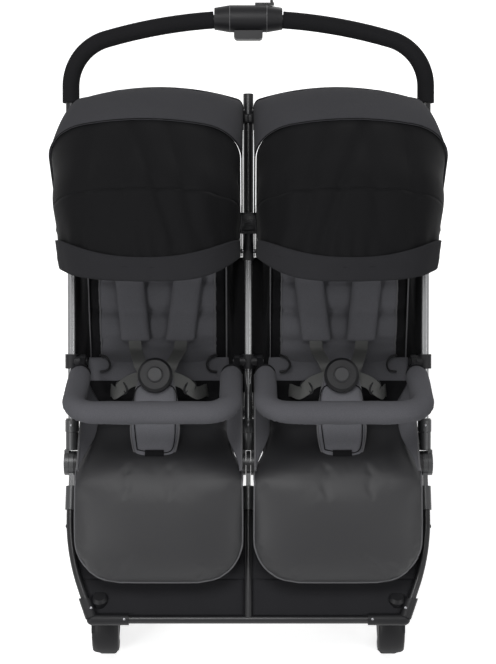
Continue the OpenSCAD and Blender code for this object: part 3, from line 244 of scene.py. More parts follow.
def put(name, points, faces, look):
    mesh = bpy.data.meshes.new(name)
    mesh.from_pydata([tuple(p) for p in points], [], faces)
    mesh.validate()
    mesh.update()
    mesh.shade_smooth()
    obj = bpy.data.objects.new(name, mesh)
    scene.collection.objects.link(obj)
    obj.data.materials.append(look)
    return obj


def ride(body, slot, *pieces):
    """Lets the pieces move with a body; the slot argument is not used."""
    for obj in pieces:
        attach(obj, body)


def bake(obj):
    """Applies the modifiers of obj to its mesh."""
    graph = bpy.context.evaluated_depsgraph_get()
    mesh = bpy.data.meshes.new_from_object(obj.evaluated_get(graph))
    obj.modifiers.clear()
    obj.data = mesh
    mesh.shade_smooth()
    return obj


def outward(obj):
    """Turns every face of a closed mesh outward."""
    work = bmesh.new()
    work.from_mesh(obj.data)
    bmesh.ops.recalc_face_normals(work, faces=work.faces)
    work.to_mesh(obj.data)
    work.free()
    return obj


def grid(name, nu, nv, place, look, thick):
    """A sheet of nu by nv cells from place(u, v), with u and v from 0 to 1."""
    points = [place(i / nu, j / nv) for j in range(nv + 1) for i in range(nu + 1)]
    faces = []
    for j in range(nv):
        for i in range(nu):
            a = j * (nu + 1) + i
            faces.append((a, a + 1, a + nu + 2, a + nu + 1))
    obj = put(name, points, faces, look)
    shell = obj.modifiers.new("shell", "SOLIDIFY")
    shell.thickness = thick
    shell.offset = -1
    return bake(obj)


def joined(name, parts):
    """One object from the meshes of several, which are removed."""
    work = bmesh.new()
    for part in parts:
        work.from_mesh(part.data)
    mesh = bpy.data.meshes.new(name)
    work.to_mesh(mesh)
    work.free()
    obj = bpy.data.objects.new(name, mesh)
    scene.collection.objects.link(obj)
    obj.data.materials.append(parts[0].data.materials[0])
    for part in parts:
        bpy.data.objects.remove(part)
    mesh.shade_smooth()
    return obj


def circle(n):
    return [2 * pi * i / n for i in range(n)]


def skin(name, rings, look, tip=None, hollow=False):
    """A closed form through rings of points, with flat ends, a pointed last end or, if hollow, a bore."""
    n = len(rings[0])
    points = [p for ring in rings for p in ring]
    faces = []
    for k in range(len(rings) if hollow else len(rings) - 1):
        low = k * n
        high = (k + 1) % len(rings) * n
        for i in range(n):
            j = (i + 1) % n
            faces.append((low + i, low + j, high + j, high + i))
    last = len(points) - n
    if not hollow:
        faces.append(tuple(range(n - 1, -1, -1)))
    if tip:
        points.append(tip)
        faces += [(last + i, last + (i + 1) % n, last + n) for i in range(n)]
    elif not hollow:
        faces.append(tuple(last + i for i in range(n)))
    return outward(put(name, points, faces, look))


def ways_along(path):
    """The direction of the path at each of its points."""
    return [(b - a).normalized() for a, b in zip(path[:1] + path[:-1], path[1:] + path[-1:])]


def tube(name, path, radius, look, sides=8):
    """A closed tube along the path; radius is a number or radius(share along, angle)."""
    ways = ways_along(path)
    a = ways[0].orthogonal().normalized()
    rings = []
    for k, (p, way) in enumerate(zip(path, ways)):
        a = (a - way * a.dot(way)).normalized()
        b = way.cross(a)
        ring = []
        for turn in circle(sides):
            r = radius(k / (len(path) - 1), turn) if callable(radius) else radius
            ring.append(p + a * (r * cos(turn)) + b * (r * sin(turn)))
        rings.append(ring)
    return skin(name, rings, look)


def curve_through(points, steps=8):
    """A smooth path through the points."""
    found = []
    for k in range(len(points) - 1):
        p0 = points[max(k - 1, 0)]
        p1 = points[k]
        p2 = points[k + 1]
        p3 = points[min(k + 2, len(points) - 1)]
        for i in range(steps):
            t = i / steps
            found.append(0.5 * (2 * p1 + (p2 - p0) * t + (2 * p0 - 5 * p1 + 4 * p2 - p3) * t * t
                                + (3 * p1 - p0 - 3 * p2 + p3) * t ** 3))
    found.append(points[-1])
    return found


# One edge of webbing's section as shares of its width and thickness
WEB_EDGE = ((-0.5, -0.35), (-0.46, -0.5), (-0.38, -0.42), (0.38, -0.42), (0.46, -0.5), (0.5, -0.35))
WEB_SECTION = WEB_EDGE + tuple((-a, -b) for a, b in WEB_EDGE)


def strap(name, path, across, width, thick, look):
    """Webbing: a flat band along the path with rounded, stitched edges."""
    rings = []
    for p, way in zip(path, ways_along(path)):
        side = (across - way * across.dot(way)).normalized()
        up = side.cross(way)
        rings.append([p + side * (a * width) + up * (b * thick) for a, b in WEB_SECTION])
    return skin(name, rings, look)


# Shares of a rivet head's radius and height
RIVET_RINGS = ((1.0, 0.0), (1.0, 0.35), (0.86, 0.7), (0.5, 0.95))


def rivet(name, at, axis, r, h, look, body, slot):
    """A domed rivet head standing on the point at."""
    turn = axis.to_track_quat("Z", "Y").to_matrix()
    rings = []
    for share, up in RIVET_RINGS:
        wide = r * share
        rings.append([at + turn @ Vector((wide * cos(a), wide * sin(a), h * up)) for a in circle(16)])
    ride(body, slot, skin(name, rings, look, tip=at + turn @ Vector((0, 0, h))))


def smooth(t):
    """Eases from 0 to 1 as t goes from 0 to 1."""
    t = min(1.0, max(0.0, t))
    return t * t * (3 - 2 * t)


def mix(a, b, t):
    return a + (b - a) * t


# Canopies
CANOPY_CLOTH_T = 0.0016
OUTLINE_STEPS = 16
SIDE_STEPS = 10


def canopy_outline(half, r, shoulder=SHOULDER_R, crown=CROWN, low=PANEL_INNER_R):
    """Points of [distance from the pivot, distance from the canopy's middle] across a canopy."""
    flat = half - shoulder
    arch = (flat * flat + crown * crown) / (2 * crown)
    turn = asin(flat / arch)
    hub = (r - crown - shoulder * cos(turn), flat - shoulder * sin(turn))
    line = []
    for k in range(OUTLINE_STEPS + 1):
        a = turn * k / OUTLINE_STEPS
        line.append((r - arch * (1 - cos(a)), arch * sin(a)))
    for k in range(1, OUTLINE_STEPS + 1):
        a = turn + (pi / 2 - turn) * k / OUTLINE_STEPS
        line.append((hub[0] + shoulder * cos(a), hub[1] + shoulder * sin(a)))
    grow = half / line[-1][1]
    line = [(p[0], p[1] * grow) for p in line]
    end = line[-1][0]
    for k in range(1, SIDE_STEPS + 1):
        line.append((end + (low - end) * k / SIDE_STEPS, half))
    return [(p[0], -p[1]) for p in reversed(line[1:])] + line


def canopy_far(rad):
    """0 at the lower edge of a canopy's side, 1 from its shoulder up."""
    return min(1.0, max(0.0, (rad - PANEL_INNER_R) / 0.15))


def canopy_point(side, rad, w, a, narrow):
    """A point of a canopy at angle a, drawn in by narrow at its outer side."""
    x = CANOPY_X + w - narrow * canopy_far(rad) * (w + CANOPY_HALF) / (2 * CANOPY_HALF)
    return CANOPY_PIVOT + Vector((side * x, -rad * cos(radians(a)), rad * sin(radians(a))))


def canopy_sheet(name, side, angles, steps, look, line_at, narrow_at, shape, sweep=None, part=(0, 1)):
    """A panel between two angles, or the part of it between two shares.

    shape(t, s, far) moves it out along its normal, and sweep(t, s) turns it up.
    """
    count = len(line_at(0))

    def place(u, v):
        t = mix(*part, v)
        line = line_at(t)
        i = round(u * (count - 1))
        if side < 0:
            i = count - 1 - i
        before = line[max(i - 1, 0)]
        after = line[min(i + 1, count - 1)]
        run = Vector((after[0] - before[0], after[1] - before[1])).normalized()
        s = line[i][1] / CANOPY_HALF
        push = shape(t, s, canopy_far(line[i][0]))
        a = mix(*angles, t) + (sweep(t, s) if sweep else 0)
        return canopy_point(side, line[i][0] + run[1] * push, line[i][1] - run[0] * push, a, narrow_at(t))

    return grid(name, count - 1, steps, place, look, CANOPY_CLOTH_T)


def canopy_line(name, side, line, a, narrow, thick, look, sweep=lambda s: 0):
    """Piping or a stitched line that follows a canopy across at angle a."""
    path = [canopy_point(side, rad, w, a + sweep(w / CANOPY_HALF), narrow) for rad, w in line]
    return tube(name, path, thick, look)


# Distance from the pivot and half width of a bow's arm at each of its rows
BOW_ROWS = ((0.008, 0.006), (0.03, 0.0055), (0.06, 0.0055), (PANEL_INNER_R + 0.012, 0.006))
BOW_HALF_T = 0.0012
EYE_BORE_R = 0.0043
EYE_R = 0.0115


def canopy_bow(name, side, half, a, body):
    """The two arms of a bow from its pivot eye up to the cloth."""
    direction = Vector((0, -cos(radians(a)), sin(radians(a))))
    normal = Vector((0, -sin(radians(a)), -cos(radians(a))))
    parts = []
    for edge in (-1, 1):
        x = side * CANOPY_X + edge * (half - BOW_HALF_T)
        hub = CANOPY_PIVOT + Vector((x, 0, 0))
        arm = []
        for d, w in BOW_ROWS:
            corners = ((-BOW_HALF_T, -w), (BOW_HALF_T, -w), (BOW_HALF_T, w), (-BOW_HALF_T, w))
            arm.append([hub + direction * d + normal * across + ACROSS * out for out, across in corners])
        eye = []
        for out, r in ((-1, EYE_BORE_R), (1, EYE_BORE_R), (1, EYE_R), (-1, EYE_R)):
            eye.append([hub + Vector((out * BOW_HALF_T, r * cos(t), r * sin(t))) for t in circle(24)])
        parts.append(skin(f"{name}_arm", arm, PLASTIC))
        parts.append(skin(f"{name}_eye", eye, PLASTIC, hollow=True))
    ride(body, "plastic_black", joined(name, parts))


# The top panel goes from a rounded hoop at the seam to a flat, narrower edge at the rear
SEAM_SHOULDER_R = 0.078
REAR_SHOULDER_R = 0.016
REAR_CROWN = 0.022
SEAM_NARROW = -0.002
REAR_NARROW = 0.033
HEM_NARROW = 0.023
REAR_LOW_R = 0.235
HEM_TOP_SWEEP = 8.0
HEM_INNER_SWEEP = 8.0
HEM_OUTER_SWEEP = 1.5
# middle across, slope, half width and depth of each slack fold of the front panel
FRONT_FOLDS = ((-0.78, -0.10, 0.10, 0.007), (-0.42, -0.35, 0.07, 0.006), (-0.12, -0.50, 0.06, 0.007),
               (0.22, 0.25, 0.08, 0.005), (0.62, 0.20, 0.09, 0.006))
FRONT_HALF = CANOPY_HALF - 0.0048
FRONT_R = CANOPY_R - 0.0034
FRONT_DRAW = 0.003
HEM_HALF = CANOPY_HALF - 0.0056
HEM_R = CANOPY_R - 0.0050
TOP_ANGLES = (SEAM_A - 0.4, REAR_A)
FRONT_ANGLES = (SEAM_A + 1, HEM_A + 5.5)
HEM_ANGLES = (HEM_A + 7.6, HEM_A - 0.5)
GATHER_LAP = 4
MID_SHARE = (FRONT_ANGLES[0] - MID_A) / (FRONT_ANGLES[0] - FRONT_ANGLES[1])
# Each layer of a canopy lies this far inside the one behind it
LAYER_STEP = 0.003


def top_line(t):
    low = mix(PANEL_INNER_R, REAR_LOW_R, smooth((t - 0.55) / 0.45))
    crown = mix(CROWN, REAR_CROWN, t)
    shoulder = mix(SEAM_SHOULDER_R, REAR_SHOULDER_R, t)
    return canopy_outline(CANOPY_HALF, CANOPY_R + crown - CROWN, shoulder, crown, low)


def top_narrow(t):
    return mix(SEAM_NARROW, REAR_NARROW, t)


def top_shape(t, s, far):
    """The top panel stands out a little between its edges and gathers at the rear."""
    swell_out = 0.0016 * sin(pi * t) * far
    gather = 0.0016 * t ** 3 * sin(26 * s + 3 * sin(5 * s)) * far
    return swell_out + gather - 0.0004


def front_line(t):
    shoulder = mix(SEAM_SHOULDER_R, SHOULDER_R, t)
    return canopy_outline(FRONT_HALF - FRONT_DRAW * t, FRONT_R - FRONT_DRAW * t, shoulder)


def front_narrow(t):
    return mix(SEAM_NARROW + 0.0005, HEM_NARROW, t ** 1.3)


def front_shape(t, s, far):
    """The front panel hangs slack between its bows, in soft upright folds."""
    slack = -0.005 * sin(2 * pi * t) ** 2
    folds = 0
    for middle, slope, wide, deep in FRONT_FOLDS:
        folds -= deep * exp(-((s - middle - slope * (t - 0.5)) / wide) ** 2)
    folds *= sin(pi * min(1, max(0, t))) ** 0.7
    creases = -0.0035 * exp(-((t - 0.93) / 0.12) ** 2) * (0.5 + 0.5 * sin(31 * s + 2 * sin(7 * s)))
    return (slack + folds + creases) * far


def hem_line(t):
    return canopy_outline(HEM_HALF, HEM_R + 0.0008 * t)


def hem_narrow(t):
    return HEM_NARROW - 0.006 + 0.008 * t


def hem_shape(t, s, far):
    return 0.0012 * sin(13 * s + 2 * sin(6 * s)) * t * far


def hem_sweep(t, s):
    """Degrees by which the hem rises to the sides; s runs from the inner side at -1 to the outer one at 1."""
    top = HEM_TOP_SWEEP * abs(s) ** 2.4
    low = HEM_OUTER_SWEEP * s ** 3 if s > 0 else HEM_INNER_SWEEP * s ** 4
    return mix(top, low, t)


def front_sweep(t, s):
    """The front panel's lower end follows the hem."""
    return hem_sweep(1, s) * t ** 4


for k, side in SIDES:
    top = canopy_sheet(f"{side}_canopy_top_cloth", k, TOP_ANGLES, 26, CLOTH, top_line, top_narrow, top_shape)
    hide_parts(f"{side}_canopy_rear")
    # The near-black seam piping is a seam and also painted shade, for the shadow under the top panel's edge
    seam = canopy_line(f"{side}_canopy_seam_piping", k, top_line(0), SEAM_A - 0.2, top_narrow(0), 0.0011,
                       CLOTH_SEAMS_AND_PAINTED_SHADE)
    edge = canopy_line(f"{side}_canopy_rear_binding", k, top_line(1), REAR_A, top_narrow(1), 0.0018,
                       CLOTH_HEM)
    ride("upper_frame", "cloth_grey", top, seam, edge)

    panels = (("mid", (0, MID_SHARE), "upper_frame", 0.086),
              ("front", (MID_SHARE, 1), f"{side}_canopy_mid", 0.074))
    for label, part, holder, area in panels:
        body = f"{side}_canopy_{label}"
        panel = canopy_sheet(f"{body}_cloth", k, FRONT_ANGLES, 22, CLOTH_DARK, front_line, front_narrow,
                             front_shape, front_sweep, part)
        first, last = (mix(*FRONT_ANGLES, t) for t in part)
        canopy_point(k, CANOPY_R, 0, first - GATHER_LAP, 0)
        canopy_point(k, CANOPY_R, 0, last, 0)
        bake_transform(panel)
        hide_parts(body)

    flap = canopy_sheet(f"{side}_canopy_hem", k, HEM_ANGLES, 10, CLOTH_HEM, hem_line, hem_narrow, hem_shape,
                        hem_sweep)
    stitches = []
    for label, t, look in (("top", 0.04, CLOTH_SEAMS_AND_PAINTED_SHADE), ("fold", 0.42, CLOTH_DARK), ("edge", 0.98, CLOTH_HEM)):
        stitches.append(canopy_line(f"{side}_canopy_hem_{label}", k, canopy_outline(HEM_HALF, HEM_R + 0.0006),
                                    mix(*HEM_ANGLES, t), hem_narrow(t), 0.0010, look,
                                    lambda s: hem_sweep(t, s)))
    ride(f"{side}_canopy_front", "cloth_dark", flap, *stitches)
    bows = (("rear", SEAM_A, "upper_frame"), ("mid", MID_A, f"{side}_canopy_mid"),
            ("front", HEM_A, f"{side}_canopy_front"))
    for layer, (label, a, body) in enumerate(bows):
        canopy_bow(f"{side}_canopy_{label}_bow", k, CANOPY_HALF - LAYER_STEP * layer, a + BOW_TURN, body)

# Pads
CHANNEL_HALF = 0.007


def closed_pad(name, low, high, look, nu=40, nv=56):
    """A closed cushion between the grids low(u, v) and high(u, v), and the upper line of its edge."""
    points = []
    for layer in (high, low):
        for j in range(nv + 1):
            for i in range(nu + 1):
                points.append(layer(-1 + 2 * i / nu, -1 + 2 * j / nv))
    under = (nu + 1) * (nv + 1)
    faces = []
    for j in range(nv):
        for i in range(nu):
            a = j * (nu + 1) + i
            faces.append((a, a + 1, a + nu + 2, a + nu + 1))
            faces.append((under + a, under + a + nu + 1, under + a + nu + 2, under + a + 1))
    rim = list(range(nu))
    rim += [j * (nu + 1) + nu for j in range(nv)]
    rim += [nv * (nu + 1) + nu - i for i in range(nu)]
    rim += [(nv - j) * (nu + 1) for j in range(nv)]
    for k in range(len(rim)):
        a = rim[k]
        b = rim[(k + 1) % len(rim)]
        faces.append((a, under + a, under + b, b))
    edge_line = [points[k].copy() for k in rim]
    return outward(put(name, points, faces, look)), edge_line


def crowned(u):
    """Height across a plain cushion."""
    return (1 - u ** 4) ** 0.6


def flat_pad(name, w, l, t, edge, look, corner=0.2, pull=0.003, channels=(), groove=0.0, across=crowned,
             taper=None, nu=40, nv=56):
    """A cushion in its own XY plane, Y from 0 to l, with drawn-in sides and sewn channels."""

    def spot(u, v, z):
        narrow = taper(v) if taper else 1.0
        x = (w / 2 - pull * (1 - v * v)) * u * sqrt(1 - corner * v * v / 2) * narrow
        y = l / 2 + (l / 2 - pull * (1 - u * u)) * v * sqrt(1 - corner * u * u / 2)
        return Vector((x, y, z))

    def high(u, v):
        dip = max([exp(-((v - c) * l / 2 / CHANNEL_HALF) ** 2) for c in channels], default=0)
        return spot(u, v, edge + (t - edge) * across(u) * (1 - v ** 6) ** 0.6 * (1 - groove * dip))

    return closed_pad(name, lambda u, v: spot(u, v, 0), high, look, nu, nv)


def swell(obj, voxel, pressure, cap, pinned, frames=20):
    """Blows a pad up as cloth, held where pinned(point) is true, and moves no point by more than cap."""
    even = obj.modifiers.new("remesh", "REMESH")
    even.mode = "VOXEL"
    even.voxel_size = voxel
    bake(obj)
    start = [v.co.copy() for v in obj.data.vertices]
    group = obj.vertex_groups.new(name="held")
    group.add([v.index for v in obj.data.vertices if pinned(v.co)], 1.0, "REPLACE")
    puff = obj.modifiers.new("cloth", "CLOTH")
    stuff = puff.settings
    stuff.quality = 5
    stuff.mass = 0.25
    stuff.tension_stiffness = 18
    stuff.compression_stiffness = 12
    stuff.shear_stiffness = 6
    stuff.bending_stiffness = 0.6
    stuff.use_pressure = True
    stuff.uniform_pressure_force = pressure
    stuff.vertex_group_mass = "held"
    stuff.effector_weights.gravity = 0
    puff.collision_settings.use_collision = False
    puff.collision_settings.use_self_collision = False
    for f in range(1, frames + 1):
        scene.frame_set(f)
    bake(obj)
    scene.frame_set(1)
    for v, was in zip(obj.data.vertices, start):
        move = v.co - was
        if move.length > cap:
            v.co = was + move * (cap / move.length)
    obj.vertex_groups.clear()
    finer = obj.modifiers.new("finer", "SUBSURF")
    finer.levels = 1
    return bake(obj)


def painted(obj, look, test):
    """Gives the faces whose middle passes the test another look."""
    obj.data.materials.append(look)
    for face in obj.data.polygons:
        if test(face.center):
            face.material_index = len(obj.data.materials) - 1
    return obj


def snapped(path, obj):
    """The points of path moved onto the nearest place of obj's surface."""
    corners = [v.co for v in obj.data.vertices]
    surface = BVHTree.FromPolygons(corners, [list(f.vertices) for f in obj.data.polygons])
    return [surface.find_nearest(p)[0] for p in path]


def twin(obj, name):
    """A copy of a piece of the left seat for the right seat, mirrored across the middle."""
    copy = obj.copy()
    copy.data = obj.data.copy()
    copy.name = name
    scene.collection.objects.link(copy)
    for v in copy.data.vertices:
        v.co.x = -v.co.x
    copy.data.flip_normals()
    return copy


def plane(foot, lean, k):
    """A seat's plane as its origin, the way up it and the way out of its front."""
    return (Vector((k * foot.x, foot.y, foot.z)), Vector((0, sin(lean), cos(lean))),
            Vector((0, -cos(lean), sin(lean))))


def back_plane(k):
    return plane(BACK_PIVOT, BACK_LEAN, k)


def crotch_plane(k):
    return plane(CROTCH_FOOT, CROTCH_LEAN, k)


def on_plane(place, x, y, z):
    origin, up, front = place
    return origin + Vector((x, 0, 0)) + up * y + front * z


def lay(obj, place, lift):
    """Moves a pad from its own plane to the place, with its flat side lift above it."""
    for v in obj.data.vertices:
        v.co = on_plane(place, v.co.x, v.co.y, v.co.z + lift)
    return obj


# Seat cushions, each one piece with its leg rest: the roll at the front joins the two planes
LEG_DOWN = Vector((0, -cos(LEG_DROP), -sin(LEG_DROP)))
LEG_OUT = Vector((0, -sin(LEG_DROP), cos(LEG_DROP)))
SEAT_REAR_Y = -0.0505
SEAT_T = 0.0235
LEG_BOARD_T = 0.0043
LEG_LENGTH = 0.189
LEG_X = 0.1688
LEG_HALF = 0.1592
ROLL_R = 0.070
LEG_BULGE = 0.010
FOOT_CORNER_R = 0.085
REAR_CORNER_R = 0.018
SEAT_RUN = 0.2
SEAT_CHANNEL = -0.689


def leg_point(q, out):
    """The point q down a leg rest's board and out from it, in its middle plane."""
    return Vector((0, LEG_PIVOT.y, LEG_PIVOT.z)) + LEG_DOWN * q + LEG_OUT * out


def corner_at(height, out):
    """Where the level line at height meets the leg rest's line that lies out from its board."""
    q = (LEG_PIVOT.z + LEG_OUT.z * out - height) / -LEG_DOWN.z
    return leg_point(q, out), q


SEAT_LOW = SEAT_TOP + 0.0003
SEAT_HIGH = SEAT_LOW + SEAT_T
LOW_CORNER = corner_at(SEAT_LOW, LEG_BOARD_T)[0]
HIGH_CORNER, HIGH_Q = corner_at(SEAT_HIGH, LEG_BOARD_T + SEAT_T)
ROLL_REACH = ROLL_R * tan(LEG_DROP / 2)
ROLL_HALF = ROLL_R * LEG_DROP / 2
SEAT_FLAT = SEAT_REAR_Y - HIGH_CORNER.y - ROLL_REACH
LEG_FLAT = LEG_LENGTH - HIGH_Q - ROLL_REACH
ROLL_HUB = Vector((0, HIGH_CORNER.y + ROLL_REACH, SEAT_HIGH - ROLL_R))


def seat_section(v):
    """Bottom and top of a seat cushion in its middle, with v from -1 at the rear to 1 at the foot."""
    if v < 0:
        low = Vector((0, SEAT_REAR_Y, SEAT_LOW)).lerp(LOW_CORNER, 1 + v)
        run = (1 + v) * (SEAT_FLAT + ROLL_HALF)
        turn = max(0.0, run - SEAT_FLAT) / ROLL_R
        if run < SEAT_FLAT:
            return low, Vector((0, SEAT_REAR_Y - run, SEAT_HIGH))
    else:
        low = leg_point(LEG_LENGTH, LEG_BOARD_T).lerp(LOW_CORNER, 1 - v)
        run = (1 - v) * (LEG_FLAT + ROLL_HALF)
        turn = LEG_DROP - max(0.0, run - LEG_FLAT) / ROLL_R
        if run < LEG_FLAT:
            share = run / LEG_FLAT
            out = LEG_BOARD_T + SEAT_T + 4 * LEG_BULGE * share * (1 - share)
            return low, leg_point(LEG_LENGTH - run, out)
    return low, ROLL_HUB + ROLL_R * Vector((0, -sin(turn), cos(turn)))


def rounded_end(half, left, r):
    """Half width of an end with corners of radius r, at a distance left from the end."""
    if left >= r:
        return half
    return half - r + sqrt(max(0.0, r * r - (r - left) ** 2))


def seat_spot(u, v, share):
    """A point of the left cushion: u across it, v along it, share from its bottom to its top."""
    low, high = seat_section(v)
    blend = smooth((v + 0.45) / 0.4)
    half = mix(PAD_W / 2 - 0.001, LEG_HALF, blend)
    if v > 0:
        half = rounded_end(half, (1 - v) * LEG_LENGTH, FOOT_CORNER_R)
    else:
        half = rounded_end(half, (1 + v) * SEAT_RUN, REAR_CORNER_R)
    p = low.lerp(high, share)
    p.x = -mix(BAY_X, LEG_X, blend) + half * u
    return p


def seat_high(u, v):
    dip = exp(-((v - SEAT_CHANNEL) * SEAT_RUN / CHANNEL_HALF) ** 2)
    return seat_spot(u, v, 0.36 + 0.64 * crowned(u) * (1 - v ** 8) ** 0.6 * (1 - 0.3 * dip))


def seat_held(p):
    return max(p.z - SEAT_LOW, (p - LOW_CORNER).dot(LEG_OUT)) < 0.005


cushion, seat_edge = closed_pad("left_seat_cushion", lambda u, v: seat_spot(u, v, 0), seat_high, CLOTH_LEG,
                                nu=48, nv=72)
swell(cushion, 0.006, 4.0, 0.0035, seat_held)
seat_edge = snapped(seat_edge, cushion)
seat_edge.append(seat_edge[0].copy())
cord = tube("left_seat_piping", seat_edge, 0.0021, PIPING)
seat_pieces = {"left": (cushion, cord),
               "right": (twin(cushion, "right_seat_cushion"), twin(cord, "right_seat_piping"))}
for side, (cushion, cord) in seat_pieces.items():
    for obj in (cushion, cord):
        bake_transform(obj)
    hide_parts(f"{side}_seat_pad", f"{side}_leg_rest_pad")

# Backrest cushions: a grey panel edged with piping, with sides that fall away to the board, painted near
# black as shade
BACK_T = 0.0285
BACK_FROM = 0.030
BACK_LENGTH = 0.404
BACK_LIFT = 0.0043
PANEL_HALF = 0.114
BACK_CHANNELS = (-0.62, -0.3, 0.02, 0.34, 0.66)


def bolstered(u):
    """Height across a backrest: nearly level, then steep outside the panel's piping."""
    edge = PANEL_HALF / (PAD_W / 2)
    if abs(u) < edge:
        return 1 - 0.10 * (u / edge) ** 4
    return 0.90 - 0.88 * smooth((abs(u) - edge) / (1 - edge))


def back_held(p):
    v = (p.y - BACK_FROM) / (BACK_LENGTH / 2) - 1
    near = min(abs(v - c) for c in BACK_CHANNELS) * BACK_LENGTH / 2
    return p.z < 0.005 or near < 0.005 and abs(p.x) < PANEL_HALF


cushion = flat_pad("left_backrest_cushion", PAD_W - 0.002, BACK_LENGTH, BACK_T, 0.008, CLOTH_SEAT, pull=0.004,
                   channels=BACK_CHANNELS, groove=0.55, across=bolstered)[0]
for v in cushion.data.vertices:
    v.co.y += BACK_FROM
swell(cushion, 0.0055, 4.0, 0.004, back_held)
# The sides outside the panel's piping are painted shade: near-black cloth for the shade where they fall away
painted(cushion, CLOTH_SEAMS_AND_PAINTED_SHADE, lambda p: abs(p.x) > PANEL_HALF)
rows = [BACK_FROM + 0.012 + (BACK_LENGTH - 0.024) * i / 60 for i in range(61)]
trims = []
for j in (-1, 1):
    path = snapped([Vector((j * PANEL_HALF, y, BACK_T)) for y in rows], cushion)
    trims.append(tube(f"left_backrest_piping_{'inner' if j > 0 else 'outer'}", path, 0.0017, PIPING))
for obj in [cushion] + trims:
    lay(obj, back_plane(-1), BACK_LIFT)
    other = twin(obj, obj.name.replace("left", "right"))
    for side, piece in (("left", obj), ("right", other)):
        ride(f"{side}_backrest", "cloth_grey", piece)
        if obj is cushion:
            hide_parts(f"{side}_backrest_pad")

# Harness
PAD_TOP = 0.0345
SHOULDER_PAD_W = 0.058
SHOULDER_PAD_LENGTH = 0.224
SHOULDER_PAD_FROM = 0.114
WEB_W = 0.025
WEB_T = 0.0018
ADJUSTER_HALF = 0.0145
# Places up a backrest and out from it of the web above a shoulder pad
UPPER_WEB = ((0.330, 0.041), (0.352, 0.0415), (0.368, 0.040), (0.382, 0.036), (0.390, 0.032))
# Places across, up and out of the webs to the buckle: on the backrest, then on the crotch pad's plane
DROP_BACK = ((0.046, 0.140, 0.0400), (0.045, 0.112, 0.0415), (0.042, 0.098, 0.0520))
DROP_CROTCH = ((0.031, 0.166, -0.0015), (0.024, 0.150, -0.0015))
HIP_BACK = ((0.097, 0.010, 0.0330), (0.093, 0.016, 0.0480))
HIP_CROTCH = ((0.077, 0.110, -0.014), (0.054, 0.128, -0.004), (0.026, 0.138, -0.001))
# Places of the loop sewn to the edge of a backrest's panel
LOOP = ((0.116, 0.084, 0.031), (0.103, 0.082, 0.038), (0.096, 0.069, 0.041), (0.101, 0.056, 0.041),
        (0.116, 0.052, 0.0390))


def on_side(place, j, spots):
    return [on_plane(place, j * x, y, z) for x, y, z in spots]


for k, side in SIDES:
    back = back_plane(k)
    crotch = crotch_plane(k)
    body = f"{side}_backrest"
    for j in (-1, 1):
        label = f"{side}_{'inner' if j * k < 0 else 'outer'}"
        x_top = 0.074 if j * k < 0 else 0.060
        pad = flat_pad(f"{label}_shoulder_pad", SHOULDER_PAD_W, SHOULDER_PAD_LENGTH, 0.013, 0.006, CLOTH_SEAT,
                       corner=0.12, pull=0.001, channels=(-0.9, -0.45, 0.1, 0.6), groove=0.25, nu=16)[0]
        for v in pad.data.vertices:
            v.co.x += j * mix(0.043, x_top, v.co.y / SHOULDER_PAD_LENGTH)
            v.co.y += SHOULDER_PAD_FROM
        lay(pad, back, PAD_TOP)
        if j < 0:
            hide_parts(f"{side}_shoulder_straps")
        upper = curve_through([on_plane(back, j * x_top, y, z) for y, z in UPPER_WEB], 5)
        ride(body, "webbing_black", pad, strap(f"{label}_shoulder_web", upper, ACROSS, WEB_W, WEB_T, WEBBING))
        drop = on_side(back, j, DROP_BACK) + on_side(crotch, j, DROP_CROTCH)
        hip = on_side(back, j, HIP_BACK) + on_side(crotch, j, HIP_CROTCH)
        lower = strap(f"{label}_lower_web", curve_through(drop), ACROSS, WEB_W, WEB_T, WEBBING)
        waist = strap(f"{label}_waist_web", curve_through(hip), crotch[1], WEB_W, WEB_T, WEBBING)
        # Length adjuster on the waist strap: a frame with a middle bar
        way = (hip[3] - hip[2]).normalized()
        lift = (crotch[1] - way * crotch[1].dot(way)).normalized()
        at = hip[2].lerp(hip[3], 0.5) + crotch[2] * 0.002
        ring = []
        for a in circle(24) + [2 * pi]:
            reach = 0.009 * cos(a) * (1.25 - 0.25 * abs(cos(a)))
            ring.append(at + way * reach + lift * (ADJUSTER_HALF * sin(a)))
        ring = tube(f"{label}_waist_adjuster_ring", ring, 0.0020, PLASTIC)
        bar = [at - lift * ADJUSTER_HALF, at + lift * ADJUSTER_HALF]
        bar = tube(f"{label}_waist_adjuster_bar", bar, 0.0022, PLASTIC)
        adjuster = joined(f"{label}_waist_adjuster", [ring, bar])
        for piece, path, slot in ((lower, drop, "webbing_black"), (waist, hip, "webbing_black"),
                                  (adjuster, hip, "plastic_black")):
            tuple(path[1])
            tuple(path[3])
            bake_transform(piece)
        loop = tube(f"{label}_backrest_loop", curve_through(on_side(back, j, LOOP)), 0.0022, PLASTIC)
        ride(body, "plastic_black", loop)

# Crotch pads
CROTCH_LENGTH = 0.180
CROTCH_TAIL = 0.032
CROTCH_BEND = 0.045
CROTCH_SINK = 0.007
BEND_STEPS = 12
# Places across and up the pad of the seam sewn into its face
CROTCH_SEAM = ((-0.033, 0.030), (-0.039, 0.085), (-0.034, 0.150), (0.034, 0.150), (0.039, 0.085),
               (0.033, 0.030), (0.0, 0.024), (-0.033, 0.030))


def crotch_taper(v):
    """Widest at two fifths of the height."""
    if v < -0.2:
        return 1 - 0.27 * ((-0.2 - v) / 0.8) ** 2
    return 1 - 0.27 * ((v + 0.2) / 1.2) ** 1.5


def crotch_spot(k, x, y, z):
    """A point of a crotch pad: its tail lies forward on the seat, the rest stands on its plane."""
    origin, up, _ = crotch_plane(k)
    here = y - CROTCH_TAIL
    p = origin + Vector((x, 0, 0))
    lean = CROTCH_LEAN
    if here < 0:
        for i in range(BEND_STEPS):
            share = here * (i + 0.5) / BEND_STEPS
            lean = CROTCH_LEAN + (pi / 2 - CROTCH_LEAN) * min(1.0, -share / CROTCH_BEND)
            p += Vector((0, sin(lean), cos(lean))) * (here / BEND_STEPS)
    else:
        p += up * here
    return p + Vector((0, -cos(lean), sin(lean))) * (z - CROTCH_SINK)


